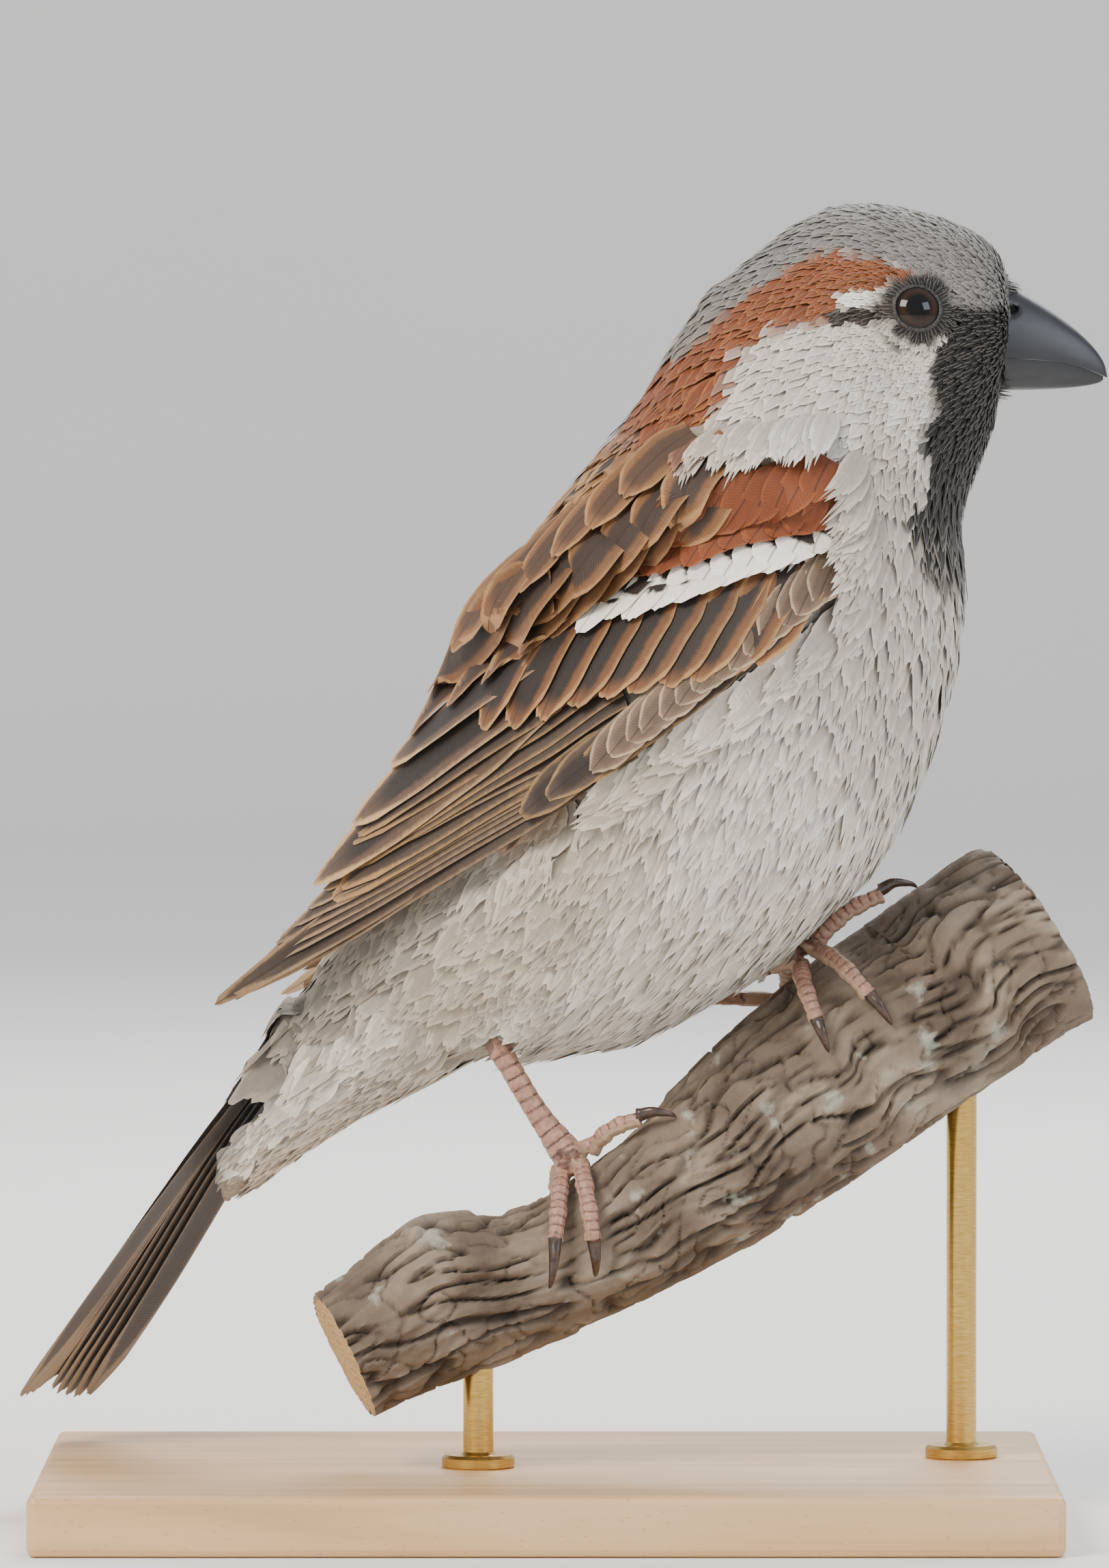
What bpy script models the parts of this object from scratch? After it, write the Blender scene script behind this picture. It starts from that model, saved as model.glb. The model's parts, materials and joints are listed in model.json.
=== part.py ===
"""A male house sparrow at life size, as a still museum model on a cut length of branch and a plain stand.

World frame: +X is the way the bill points, +Y is the bird's left, +Z is up, and the origin is the centre
of the stand's underside. Sizes below are in millimetres and degrees; MM turns them into metres.
"""

import math

import bmesh
import bpy
import numpy as np
from mathutils import Vector

MM = 0.001
GAP = 0.3  # clearance between neighbouring solids

# Pose
BODY_TURN = 18.0  # the trunk, wings and tail are turned this far to the bird's right of its bill
SHOULDER_X = 25.7  # where the straight middle plane of the trunk meets the curved one of the neck
SHOULDER_Y = -3.8
HEAD_Y = -6.0

# The body's outline from bill to undertail. Each row is one slanting section:
# back x, back z, underside x, underside z, half width, turn, how much wider it is low down
SECTIONS = (
    (46.2, 121.6, 45.2, 112.8, 4.2, 0, 0.00),
    (44.9, 125.3, 44.9, 110.8, 6.6, 0, 0.00),
    (42.2, 127.9, 44.0, 108.4, 8.2, 0, 0.00),
    (38.0, 129.6, 43.2, 105.8, 9.3, 0, 0.03),
    (32.6, 130.8, 42.3, 103.2, 10.2, 3, 0.06),
    (26.6, 130.2, 41.4, 100.6, 11.8, 7, 0.10),
    (20.5, 125.9, 41.0, 98.0, 14.0, 11, 0.12),
    (14.6, 121.0, 40.9, 95.0, 16.6, 15, 0.12),
    (10.2, 112.4, 40.7, 90.5, 19.2, 17, 0.08),
    (4.0, 104.6, 39.8, 84.6, 21.4, 18, 0.04),
    (-1.4, 97.6, 38.2, 78.2, 22.5, 18, 0.02),
    (-5.2, 91.2, 35.4, 70.8, 22.8, 18, 0.02),
    (-7.6, 84.2, 31.0, 63.2, 22.0, 18, 0.02),
    (-10.8, 77.6, 24.2, 56.8, 20.4, 18, 0.02),
    (-13.8, 71.2, 16.2, 51.0, 18.0, 18, 0.00),
    (-17.2, 65.4, 7.4, 46.6, 15.0, 18, 0.00),
    (-20.5, 59.8, -2.5, 45.4, 12.0, 18, 0.00),
    (-24.0, 54.0, -10.8, 42.8, 9.8, 18, 0.00),
    (-27.0, 48.6, -19.0, 38.2, 8.0, 18, 0.00),
    (-29.2, 44.0, -25.2, 34.2, 6.2, 18, 0.00),
    (-31.8, 39.6, -29.8, 30.8, 4.6, 18, 0.00),
    (-33.6, 36.0, -32.8, 29.4, 2.8, 18, 0.00),
)
RING_POINTS = 20
HEAD_CUT = 6.5  # the sections, counted from the bill, where the neck starts and ends
NECK_CUT = 8.7

# Bill
BILL_BASE_X = 43.2
BILL_TIP_X = 55.1
BILL_TIP_Z = 113.3
GAPE_Z = 115.5  # the line between the two halves, at the base
CULMEN_RISE = 8.0  # from that line to the ridge of the bill, at the base
CHIN_DROP = 3.3
BILL_HALF_WIDTH = 4.0
BILL_TIP_DEPTH = 0.3

# Eyes
EYE_X = 35.8
EYE_Z = 119.7
EYE_RADIUS = 3.1
EYE_APART = 15.8  # between the centres of the two eyeballs

# Folded wing, from the wrist to the tip of the longest primary. Each row is one station:
# lower edge x, z, distance from the middle plane; upper edge x, z, distance; thickness
WING_STATIONS = (
    (28.6, 93.6, 16.6, 27.6, 98.6, 14.6, 1.6),
    (24.8, 87.6, 20.6, 20.5, 99.6, 17.2, 2.0),
    (18.5, 83.2, 22.8, 11.5, 97.0, 17.0, 2.2),
    (8.5, 76.6, 23.6, 1.5, 91.0, 13.0, 2.4),
    (-1.5, 68.8, 21.8, -6.0, 85.6, 6.5, 2.4),
    (-10.5, 63.0, 18.6, -11.2, 80.8, 2.6, 2.4),
    (-19.5, 57.9, 15.2, -17.8, 73.0, 2.4, 2.2),
    (-27.0, 53.6, 12.4, -23.8, 64.6, 3.6, 1.8),
    (-31.6, 51.0, 10.6, -28.8, 56.2, 6.4, 1.3),
    (-33.6, 49.8, 9.8, -32.6, 51.4, 8.8, 0.8),
)
WING_SPLITS = {"coverts": (0, 3.7), "secondaries": (3.7, 7.0), "primaries": (7.0, 9)}

# Tail
TAIL_ROOT = (-23.4, 50.4)
TAIL_TIP = (-50.4, 10.2)
TAIL_HALF_WIDTH = (5.2, 8.6)  # at the root and near the tip
TAIL_THICKNESS = (2.4, 1.0)
TAIL_NOTCH = 2.2
TAIL_COVERTS_END = 0.14  # where the upper tail coverts stop, as a share of the tail
TAIL_ROOF = 1.1  # how much the middle feathers stand above the outer ones
TAIL_ROLL = 9.0

# Legs: the trunk-plane x and z, and the distance from the middle plane
LEGS = {
    "right": {
        "side": -1,
        "thigh": ((2.0, 57.0, 10.5), (-4.6, 47.6, 8.6)),
        "tarsus": ((-5.2, 48.2, 8.2), (-3.0, 44.4, 7.9), (-0.8, 40.8, 7.4)),
        "foot": (6.4, 4.0),
    },
    "left": {
        "side": 1,
        "thigh": ((4.0, 59.0, 10.5), (11.6, 52.2, 8.8)),
        "tarsus": ((12.4, 51.6, 8.2), (17.4, 54.0, 7.8), (21.8, 56.4, 7.2)),
        "foot": (31.8, -3.0),
    },
}
THIGH_RADIUS = 4.4
TARSUS_RADIUS = 1.05
PAD_RADIUS = 1.9

# Toes: where each starts beside the pad (up the branch, towards the bird's right), its heading from
# straight down the right-hand face of the branch, its length, and its claw's length
TOES = {
    "right": {
        "outer": (-1.80, 1.70, -36, 8.4, 5.6),
        "middle": (0.35, 2.40, -24, 8.4, 4.2),
        "inner": (2.60, 0.15, 66, 6.0, 4.0),
        "back": (-0.3, -2.5, 196, 6.8, 5.4),
    },
    "left": {
        "inner": (-0.70, 2.35, -20, 8.2, 3.6),
        "middle": (1.60, 1.90, 2, 9.4, 4.0),
        "outer": (2.60, -0.10, 84, 7.4, 4.0),
        "back": (-0.5, -2.5, 192, 6.8, 5.0),
    },
}
TOE_RADIUS = 0.82
CLAW_RADIUS = 0.55
CLAW_CURL = 0.3
CLAW_LIFT = 0.3

# Branch: x, z and radius of its middle line
BRANCH_LINE = (
    (-26.0, 14.4, 6.4),
    (-20.0, 17.4, 6.8),
    (-11.0, 21.6, 7.5),
    (-2.0, 24.6, 6.8),
    (6.0, 28.2, 7.2),
    (14.0, 33.2, 8.3),
    (22.0, 39.2, 9.5),
    (30.0, 45.2, 10.1),
    (38.0, 50.9, 10.2),
    (46.0, 56.2, 10.4),
    (54.0, 61.0, 10.6),
)
BRANCH_ENDS = (-20.0, 49.0)
BRANCH_MID = (14.5, -0.2)
BRANCH_TURN = 12.0
BRANCH_SIDES = 18
BRANCH_RINGS = 21
# Knots and loose bark: x, degrees from the top towards the right-hand face, height, spread
BRANCH_KNOTS = ((-9.0, 10.0, 2.4, 5.0), (18.0, 95.0, 0.9, 4.0), (42.0, 70.0, 1.0, 5.0), (20.0, -120.0, 1.6, 4.5))

# Stand
BASE_LENGTH = 100.0
BASE_DEPTH = 68.0
BASE_HEIGHT = 6.0
BASE_EDGE = 0.8
ROD_XS = (-9.0, 36.0)
ROD_RADIUS = 1.5
FLANGE_RADIUS = 3.6
FLANGE_HEIGHT = 1.0
ROD_IN_BASE = 3.5
ROD_IN_BRANCH = 3.5

SIDES = {"right": -1, "left": 1}


# --- Scene, collections and materials ---------------------------------------------------------------

for old in list(bpy.data.objects):
    bpy.data.objects.remove(old, do_unlink=True)

parts = bpy.data.collections.new("House sparrow")
cutters = bpy.data.collections.new("Cutters")
for collection in (parts, cutters):
    bpy.context.scene.collection.children.link(collection)


def linear(hex_colour):
    """An sRGB hex colour as linear red, green, blue and alpha."""
    channels = [int(hex_colour[i : i + 2], 16) / 255 for i in (0, 2, 4)]
    return [c / 12.92 if c <= 0.04045 else ((c + 0.055) / 1.055) ** 2.4 for c in channels] + [1.0]


def material(name, hex_colour, roughness, metallic=0.0):
    made = bpy.data.materials.new(name)
    made.use_nodes = True
    shader = made.node_tree.nodes["Principled BSDF"]
    shader.inputs["Base Color"].default_value = linear(hex_colour)
    shader.inputs["Roughness"].default_value = roughness
    shader.inputs["Metallic"].default_value = metallic
    made.diffuse_color = linear(hex_colour)
    return made


HEAD_FEATHERS = material("head feathers", "7f7d7a", 0.8)
BODY_FEATHERS = material("body feathers", "b0aaa0", 0.8)
WING_FEATHERS = material("wing feathers", "8a5a34", 0.7)
TAIL_FEATHERS = material("tail feathers", "5a4636", 0.7)
BILL_HORN = material("bill horn", "1e1c1b", 0.35)
CLAW_HORN = material("claw horn", "3a2c24", 0.35)
LEG_SKIN = material("leg skin", "b08068", 0.5)
EYE_GLASS = material("eye", "20140e", 0.05)
BARK = material("bark", "6b5a48", 0.9)
STAND_WOOD = material("stand wood", "c9a878", 0.5)
STAND_METAL = material("stand brass", "b8995a", 0.3, 1.0)


# --- Making and cutting solids ----------------------------------------------------------------------


def add_object(name, mesh, finish, collection=parts):
    obj = bpy.data.objects.new(name, mesh)
    if finish:
        mesh.materials.append(finish)
    collection.objects.link(obj)
    if collection is cutters:
        obj.hide_render = True
        obj.display_type = "WIRE"
    return obj


def mesh_from(points, faces, name):
    """A smooth-shaded mesh from points in millimetres, its faces turned outwards."""
    mesh = bpy.data.meshes.new(name)
    mesh.from_pydata([tuple(np.asarray(p) * MM) for p in points], [], faces)
    work = bmesh.new()
    work.from_mesh(mesh)
    bmesh.ops.recalc_face_normals(work, faces=work.faces)
    work.to_mesh(mesh)
    work.free()
    mesh.shade_smooth()
    return mesh


def loft(name, rings):
    """A closed solid through rings of equal length, with a flat cap on each end."""
    count = len(rings[0])
    faces = [
        (i * count + j, i * count + (j + 1) % count, (i + 1) * count + (j + 1) % count, (i + 1) * count + j)
        for i in range(len(rings) - 1)
        for j in range(count)
    ]
    faces.append(tuple(range(count)))
    faces.append(tuple(range((len(rings) - 1) * count, len(rings) * count)))
    return mesh_from(np.concatenate(rings), faces, name)


def shell(name, outer, inner):
    """A closed solid between two open grids of points, joined round their rims."""
    rows, columns = len(outer), len(outer[0])
    index = np.arange(rows * columns).reshape(rows, columns)
    quads = np.stack([index[:-1, :-1], index[1:, :-1], index[1:, 1:], index[:-1, 1:]], axis=-1).reshape(-1, 4)
    rim = [*index[0, :-1], *index[:-1, -1], *index[-1, :0:-1], *index[:0:-1, 0]]
    faces = [tuple(quad) for quad in quads]
    faces += [tuple(quad[::-1] + rows * columns) for quad in quads]
    faces += [(a, b, b + rows * columns, a + rows * columns) for a, b in zip(rim, rim[1:] + rim[:1])]
    points = np.concatenate([np.reshape(outer, (-1, 3)), np.reshape(inner, (-1, 3))])
    return mesh_from(points, [tuple(int(i) for i in face) for face in faces], name)


def at(rows, place):
    """The row at a fractional place along the rows, on a smooth curve through them all."""
    rows = np.asarray(rows, float)
    last = len(rows) - 1
    start = int(min(max(math.floor(place), 0), last - 1))
    t = place - start
    a, b = rows[start], rows[start + 1]
    slope_a = (b - rows[start - 1]) / 2 if start > 0 else b - a
    slope_b = (rows[start + 2] - a) / 2 if start + 2 <= last else b - a
    if t < 0:
        return a + slope_a * t
    if t > 1:
        return b + slope_b * (t - 1)
    t2, t3 = t * t, t * t * t
    return (2 * t3 - 3 * t2 + 1) * a + (t3 - 2 * t2 + t) * slope_a + (3 * t2 - 2 * t3) * b + (t3 - t2) * slope_b


def swell(mesh, amount):
    """The mesh as a cutter, grown by this many millimetres along its normals."""
    work = bmesh.new()
    work.from_mesh(mesh)
    work.normal_update()
    for vert in work.verts:
        vert.co += vert.normal * amount * MM
    grown = bpy.data.meshes.new(mesh.name + " cutter")
    work.to_mesh(grown)
    work.free()
    return grown


def cutter_of(name, mesh, amount=GAP * 1.25):
    return add_object("cut " + name, swell(mesh, amount), None, cutters)


def cut(obj, *tools):
    for tool in tools:
        boolean = obj.modifiers.new(tool.name, "BOOLEAN")
        boolean.operation = "DIFFERENCE"
        boolean.solver = "EXACT"
        boolean.object = tool


def clean(*objects):
    """Closes the hair-thin slivers that cuts leave where faces nearly coincide."""
    for obj in objects:
        weld = obj.modifiers.new("clean", "WELD")
        weld.merge_threshold = 0.00002


def tube_mesh(name, points, radii, sides_level=2):
    """A round tube with filled, welded ends, through points with their own radii."""
    curve = bpy.data.curves.new(name, "CURVE")
    curve.dimensions = "3D"
    curve.bevel_depth = MM
    curve.bevel_resolution = sides_level
    curve.use_fill_caps = True
    spline = curve.splines.new("POLY")
    spline.points.add(len(points) - 1)
    for target, point, radius in zip(spline.points, points, radii):
        target.co = (*(np.asarray(point) * MM), 1)
        target.radius = radius
    guide = bpy.data.objects.new(name, curve)
    bpy.context.scene.collection.objects.link(guide)
    bpy.context.view_layer.update()
    mesh = bpy.data.meshes.new_from_object(guide.evaluated_get(bpy.context.evaluated_depsgraph_get()))
    bpy.data.objects.remove(guide, do_unlink=True)
    work = bmesh.new()
    work.from_mesh(mesh)
    bmesh.ops.remove_doubles(work, verts=work.verts, dist=1e-6)
    bmesh.ops.recalc_face_normals(work, faces=work.faces)
    work.to_mesh(mesh)
    work.free()
    mesh.shade_smooth()
    return mesh


# --- Places on the bird -----------------------------------------------------------------------------


def middle_y(x):
    """The y of the trunk's upright middle plane at this x."""
    return SHOULDER_Y - (x - SHOULDER_X) * math.tan(math.radians(BODY_TURN))


def beside(x, z, distance):
    """A point seen at x and z, this far to the left (+) or right (-) of the trunk's middle plane."""
    turn = math.radians(BODY_TURN)
    x_middle = x - distance * math.sin(turn)
    return np.array([x, middle_y(x_middle) + distance * math.cos(turn), z])


def section_centres():
    """The y of the middle line at each section: along the bill first, then down the turned trunk."""
    rows = np.array(SECTIONS)
    xs = (rows[:, 0] + rows[:, 2]) / 2
    turns = np.radians(rows[:, 5])
    ys = [HEAD_Y]
    for i in range(1, len(rows)):
        ys.append(ys[-1] - (xs[i] - xs[i - 1]) * math.tan((turns[i] + turns[i - 1]) / 2))
    return np.array(ys)


SECTION_ROWS = np.column_stack([np.array(SECTIONS), section_centres()])


def section_axes(place):
    """Centre, half depth and half width vectors of the body's section at a fractional place."""
    back_x, back_z, under_x, under_z, half_width, turn, low, centre_y = at(SECTION_ROWS, place)
    turn = math.radians(turn)
    centre = np.array([(back_x + under_x) / 2, centre_y, (back_z + under_z) / 2])
    half_x = (back_x - under_x) / 2
    depth = np.array([half_x, -half_x * math.tan(turn), (back_z - under_z) / 2])
    width = np.array([math.sin(turn), math.cos(turn), 0]) * half_width
    return centre, depth, width, low


def body_ring(place):
    centre, depth, width, low = section_axes(place)
    ring = []
    for angle in np.linspace(0, 2 * math.pi, RING_POINTS, endpoint=False):
        up, side = math.cos(angle), math.sin(angle)
        ring.append(centre + depth * up + width * side * (1 - low * up))
    return np.array(ring)


# --- Head, neck and trunk: one body parted by thin cuts ------------------------------------------------

body_places = np.linspace(0, len(SECTIONS) - 1, 32)
body = loft("body", [body_ring(place) for place in body_places])


def keep_between(source, name, first, last):
    """The piece of a mesh between two body sections, half a gap short of each; None leaves an end whole."""
    work = bmesh.new()
    work.from_mesh(source)
    for place, towards_tail in ((first, True), (last, False)):
        if place is None:
            continue
        centre, depth, width, _ = section_axes(place)
        normal = Vector(np.cross(depth, width)).normalized()
        next_centre = section_axes(place + 1)[0]
        if normal.dot(Vector(next_centre - centre)) < 0:
            normal = -normal
        keep = normal if towards_tail else -normal
        edge = Vector(centre) * MM + keep * GAP * 0.5 * MM
        geometry = work.verts[:] + work.edges[:] + work.faces[:]
        bmesh.ops.bisect_plane(work, geom=geometry, plane_co=edge, plane_no=keep, clear_inner=True)
        bmesh.ops.holes_fill(work, edges=[e for e in work.edges if e.is_boundary], sides=0)
    bmesh.ops.recalc_face_normals(work, faces=work.faces)
    mesh = bpy.data.meshes.new(name)
    work.to_mesh(mesh)
    work.free()
    mesh.shade_smooth()
    return mesh


head = add_object("head", keep_between(body, "head", None, HEAD_CUT), HEAD_FEATHERS)
neck = add_object("neck", keep_between(body, "neck", HEAD_CUT, NECK_CUT), BODY_FEATHERS)
trunk = add_object("trunk", keep_between(body, "trunk", NECK_CUT, None), BODY_FEATHERS)


# --- Bill -------------------------------------------------------------------------------------------


def bill_half(name, depth, tip_x, bulge):
    """One half of the bill: domed sections from the base, closing on the tip; depth is negative below."""
    rings = []
    way = math.copysign(1, depth)
    for t in (0, 0.12, 0.26, 0.42, 0.58, 0.73, 0.86, 0.95, 1.0):
        x = BILL_BASE_X + (tip_x - BILL_BASE_X) * t
        edge = GAPE_Z + (BILL_TIP_Z - GAPE_Z) * t + way * GAP / 2
        height = depth * (1 - t) ** bulge + way * BILL_TIP_DEPTH
        half_width = max(BILL_HALF_WIDTH * (1 - t) ** 0.78, BILL_TIP_DEPTH / 2)
        ring = []
        for angle in np.linspace(0, math.pi, 9):
            side = math.copysign(abs(math.cos(angle)) ** 0.85, math.cos(angle))
            ring.append((x, HEAD_Y + half_width * side, edge + height * math.sin(angle)))
        for share in (0.5, 0, -0.5):
            ring.append((x, HEAD_Y - half_width * share, edge))
        rings.append(np.array(ring))
    return loft(name, rings)


upper_mesh = bill_half("bill_upper", CULMEN_RISE, BILL_TIP_X, 0.53)
lower_mesh = bill_half("bill_lower", -CHIN_DROP, BILL_TIP_X - 0.9, 0.65)
add_object("bill_upper", upper_mesh, BILL_HORN)
add_object("bill_lower", lower_mesh, BILL_HORN)
cut(head, cutter_of("bill_upper", upper_mesh), cutter_of("bill_lower", lower_mesh))


# --- Eyes -------------------------------------------------------------------------------------------


def ball(name, centre, radius, segments=14, rings=8):
    work = bmesh.new()
    bmesh.ops.create_uvsphere(work, u_segments=segments, v_segments=rings, radius=radius * MM)
    bmesh.ops.translate(work, verts=work.verts, vec=Vector(centre) * MM)
    mesh = bpy.data.meshes.new(name)
    work.to_mesh(mesh)
    work.free()
    mesh.shade_smooth()
    return mesh


for side_name, side in SIDES.items():
    name = "eye_" + side_name
    mesh = ball(name, (EYE_X, HEAD_Y + side * EYE_APART / 2, EYE_Z), EYE_RADIUS)
    add_object(name, mesh, EYE_GLASS)
    cut(head, cutter_of(name, mesh))


# --- Wings ------------------------------------------------------------------------------------------


def wing_point(station, across, side, lift=0.0):
    """A point of the folded wing's outer face: across runs from the lower edge (0) to the upper one (1).

    Each section of the face is an arc of a circle, so it wraps round the flank and on to the back.
    """
    low_x, low_z, low_far, up_x, up_z, up_far, _ = at(WING_STATIONS, station)
    turn = math.radians(BODY_TURN)
    low = np.array([low_x + low_far * math.sin(turn), low_z])
    chord = np.array([up_x + up_far * math.sin(turn), up_z]) - low
    span = np.linalg.norm(chord)
    sweep = 2 * math.atan2(low_far - up_far, span)
    wrap = across * sweep
    middle = low + chord * math.sin(wrap) / math.sin(sweep) + chord / span * lift * math.sin(wrap)
    far = low_far - (low_far - up_far) * (1 - math.cos(wrap)) / (1 - math.cos(sweep)) + lift * math.cos(wrap)
    return beside(middle[0] + side * far * math.sin(turn), middle[1], side * far)


def wing_shell(name, first, last, side, columns, rows, outward=0.0, margin=0.0):
    """The part of a wing between two stations; a cutter reaches further outwards, inwards and past the rim."""
    stations = np.linspace(first, last, columns + 1)
    spans = np.linspace(-margin, 1 + margin, rows + 1)
    inward = GAP * 2 if outward else 0.0
    outer = [[wing_point(s, a, side, outward) for a in spans] for s in stations]
    inner = [[wing_point(s, a, side, -at(WING_STATIONS, s)[6] - inward) for a in spans] for s in stations]
    return shell(name, outer, inner)


SPLIT_GAP = 0.035  # in stations, about a third of a millimetre
CUTTER_REACH = 3.0  # a cutter reaches this far out, so that no skin of the trunk is left over a wing
wing_cutters = {}
for side_name, side in SIDES.items():
    for piece, (first, last) in WING_SPLITS.items():
        name = f"wing_{side_name}_{piece}"
        start = first + (SPLIT_GAP if first > 0 else 0)
        columns = max(3, round((last - first) * 2.2))
        add_object(name, wing_shell(name, start, last, side, columns, 7), WING_FEATHERS)
    mesh = wing_shell("cut wing_" + side_name, -0.12, 9.05, side, 20, 7, CUTTER_REACH, 0.05)
    wing_cutters[side_name] = add_object(mesh.name, mesh, None, cutters)
cut(neck, *wing_cutters.values())
cut(trunk, *wing_cutters.values())


# --- Tail -------------------------------------------------------------------------------------------


def tail_point(along, across, lift=0.0):
    """A point of the tail's upper face: along runs from root to tip, across from right (-1) to left (1)."""
    root, tip = np.array(TAIL_ROOT), np.array(TAIL_TIP)
    axis = (tip - root) / np.linalg.norm(tip - root)
    above = np.array([-axis[1], axis[0]]) * -1
    half_width = TAIL_HALF_WIDTH[0] + (TAIL_HALF_WIDTH[1] - TAIL_HALF_WIDTH[0]) * np.clip(along * 1.5, 0, 1) ** 0.8
    lobe = 1 - ((abs(across) - 0.55) / 0.55) ** 2
    length = np.linalg.norm(tip - root) - TAIL_NOTCH * (1 - max(lobe, 0)) * along
    roll = math.radians(TAIL_ROLL) * along
    far = across * half_width
    height = TAIL_ROOF * (1 - across * across) + lift
    x, z = root + axis * length * along + above * (height * math.cos(roll) - far * math.sin(roll))
    distance = far * math.cos(roll) + height * math.sin(roll)
    turn = math.radians(BODY_TURN)
    return beside(x + distance * math.sin(turn), z, distance)


def tail_shell(name, first=0.0, edge=1.0, around=0.0, above=0.0):
    """The tail's stack of feathers; its cutter also clears what lies above it past the tail coverts."""
    lengthwise = np.linspace(first, 1, 10)
    crosswise = np.linspace(-edge, edge, 9)
    thickness = TAIL_THICKNESS[0] + (TAIL_THICKNESS[1] - TAIL_THICKNESS[0]) * lengthwise
    clear = around + above * np.clip((lengthwise - TAIL_COVERTS_END) / 0.1, 0, 1)
    upper = [[tail_point(a, c, up) for c in crosswise] for a, up in zip(lengthwise, clear)]
    lower = [[tail_point(a, c, -t - around) for c in crosswise] for a, t in zip(lengthwise, thickness)]
    return shell(name, upper, lower)


add_object("tail", tail_shell("tail"), TAIL_FEATHERS)
tail_cutter = add_object("cut tail", tail_shell("cut tail", -0.012, 1.07, GAP, 4.0), None, cutters)
cut(trunk, tail_cutter)


# --- Branch -----------------------------------------------------------------------------------------


def branch_frame(x):
    """Middle point, radius, and the along, up and right-hand directions of the branch at this x."""
    rows = np.array(BRANCH_LINE)
    place = np.interp(x, rows[:, 0], np.arange(len(rows)))

    def middle(p):
        px, pz, radius = at(rows, p)
        y = BRANCH_MID[1] + (px - BRANCH_MID[0]) * math.tan(math.radians(BRANCH_TURN))
        return np.array([px, y, pz]), radius

    centre, radius = middle(place)
    along = middle(place + 0.2)[0] - middle(place - 0.2)[0]
    along /= np.linalg.norm(along)
    up = np.array([0, 0, 1.0]) - along * along[2]
    up /= np.linalg.norm(up)
    return centre, radius, along, up, np.cross(along, up)


def on_branch(x, degrees, height=0.0):
    """A point on the bark: degrees run from the branch's top towards its right-hand face."""
    centre, radius, _, up, right = branch_frame(x)
    angle = math.radians(degrees)
    bark = radius * (1 + 0.035 * math.sin(3 * angle + 0.05 * x) + 0.03 * math.sin(7 * angle - 0.11 * x))
    for knot_x, knot_degrees, tall, spread in BRANCH_KNOTS:
        apart = (degrees - knot_degrees + 180) % 360 - 180
        distance = math.hypot(x - knot_x, math.radians(apart) * radius)
        bark += tall * math.exp(-((distance / spread) ** 2))
    return centre + (bark + height) * (math.cos(angle) * up + math.sin(angle) * right)


branch_rings = []
for x in np.linspace(*BRANCH_ENDS, BRANCH_RINGS):
    ring = [on_branch(x, angle) for angle in np.linspace(0, 360, BRANCH_SIDES, endpoint=False)]
    branch_rings.append(np.array(ring))
branch_mesh = loft("perch_branch", branch_rings)
branch = add_object("perch_branch", branch_mesh, BARK)
branch_cutter = cutter_of("perch_branch", branch_mesh)
cut(trunk, branch_cutter)


# --- Legs, toes and claws -----------------------------------------------------------------------------


def claw_path(start, forward, down, length):
    """Points of a claw: it leaves the toe forwards and curls towards the bark."""
    points = [start]
    steps = 5
    for i in range(steps):
        bend = math.radians(10 + 62 * (i + 0.5) / steps)
        points.append(points[-1] + (forward * math.cos(bend) + down * math.sin(bend)) * length / steps)
    return points


def add_toe(side_name, toe_name, foot_x, foot_degrees, start_along, start_round, heading, length, claw):
    """A toe lies on the bark from beside the pad, and its claw hangs off the end."""
    slope = branch_frame(foot_x)[2][0]
    reach = branch_frame(foot_x)[1] + TOE_RADIUS
    turn = math.radians(heading)
    points, radii = [], []
    steps = 9
    for i in range(steps + 1):
        gone = length * i / steps
        along = start_along + gone * math.sin(turn)
        around = start_round + gone * math.cos(turn)
        x = foot_x + along * slope
        arch = 0.55 * math.sin(math.pi * i / steps)
        degrees = foot_degrees + math.degrees(around / reach)
        joint = 1 + 0.13 * math.cos(2 * math.pi * 3 * i / steps)
        points.append(on_branch(x, degrees, TOE_RADIUS * 1.13 + GAP + arch))
        radii.append(TOE_RADIUS * joint * (1 - 0.14 * i / steps))
    name = f"toe_{side_name}_{toe_name}"
    toe_mesh = tube_mesh(name, points, radii)
    add_object(name, toe_mesh, LEG_SKIN)
    cut(trunk, cutter_of(name, toe_mesh))
    forward = points[-1] - points[-2]
    forward /= np.linalg.norm(forward)
    outward = points[-1] - branch_frame(x)[0]
    outward -= forward * outward.dot(forward)
    outward /= np.linalg.norm(outward)
    claw_start = points[-1] + forward * GAP + outward * CLAW_LIFT
    line = claw_path(claw_start, forward, -outward * CLAW_CURL, claw)
    claw_radii = [CLAW_RADIUS * (1 - t) ** 0.7 + 0.07 for t in np.linspace(0, 1, len(line))]
    name = f"claw_{side_name}_{toe_name}"
    add_object(name, tube_mesh(name, line, claw_radii, 1), CLAW_HORN)


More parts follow.
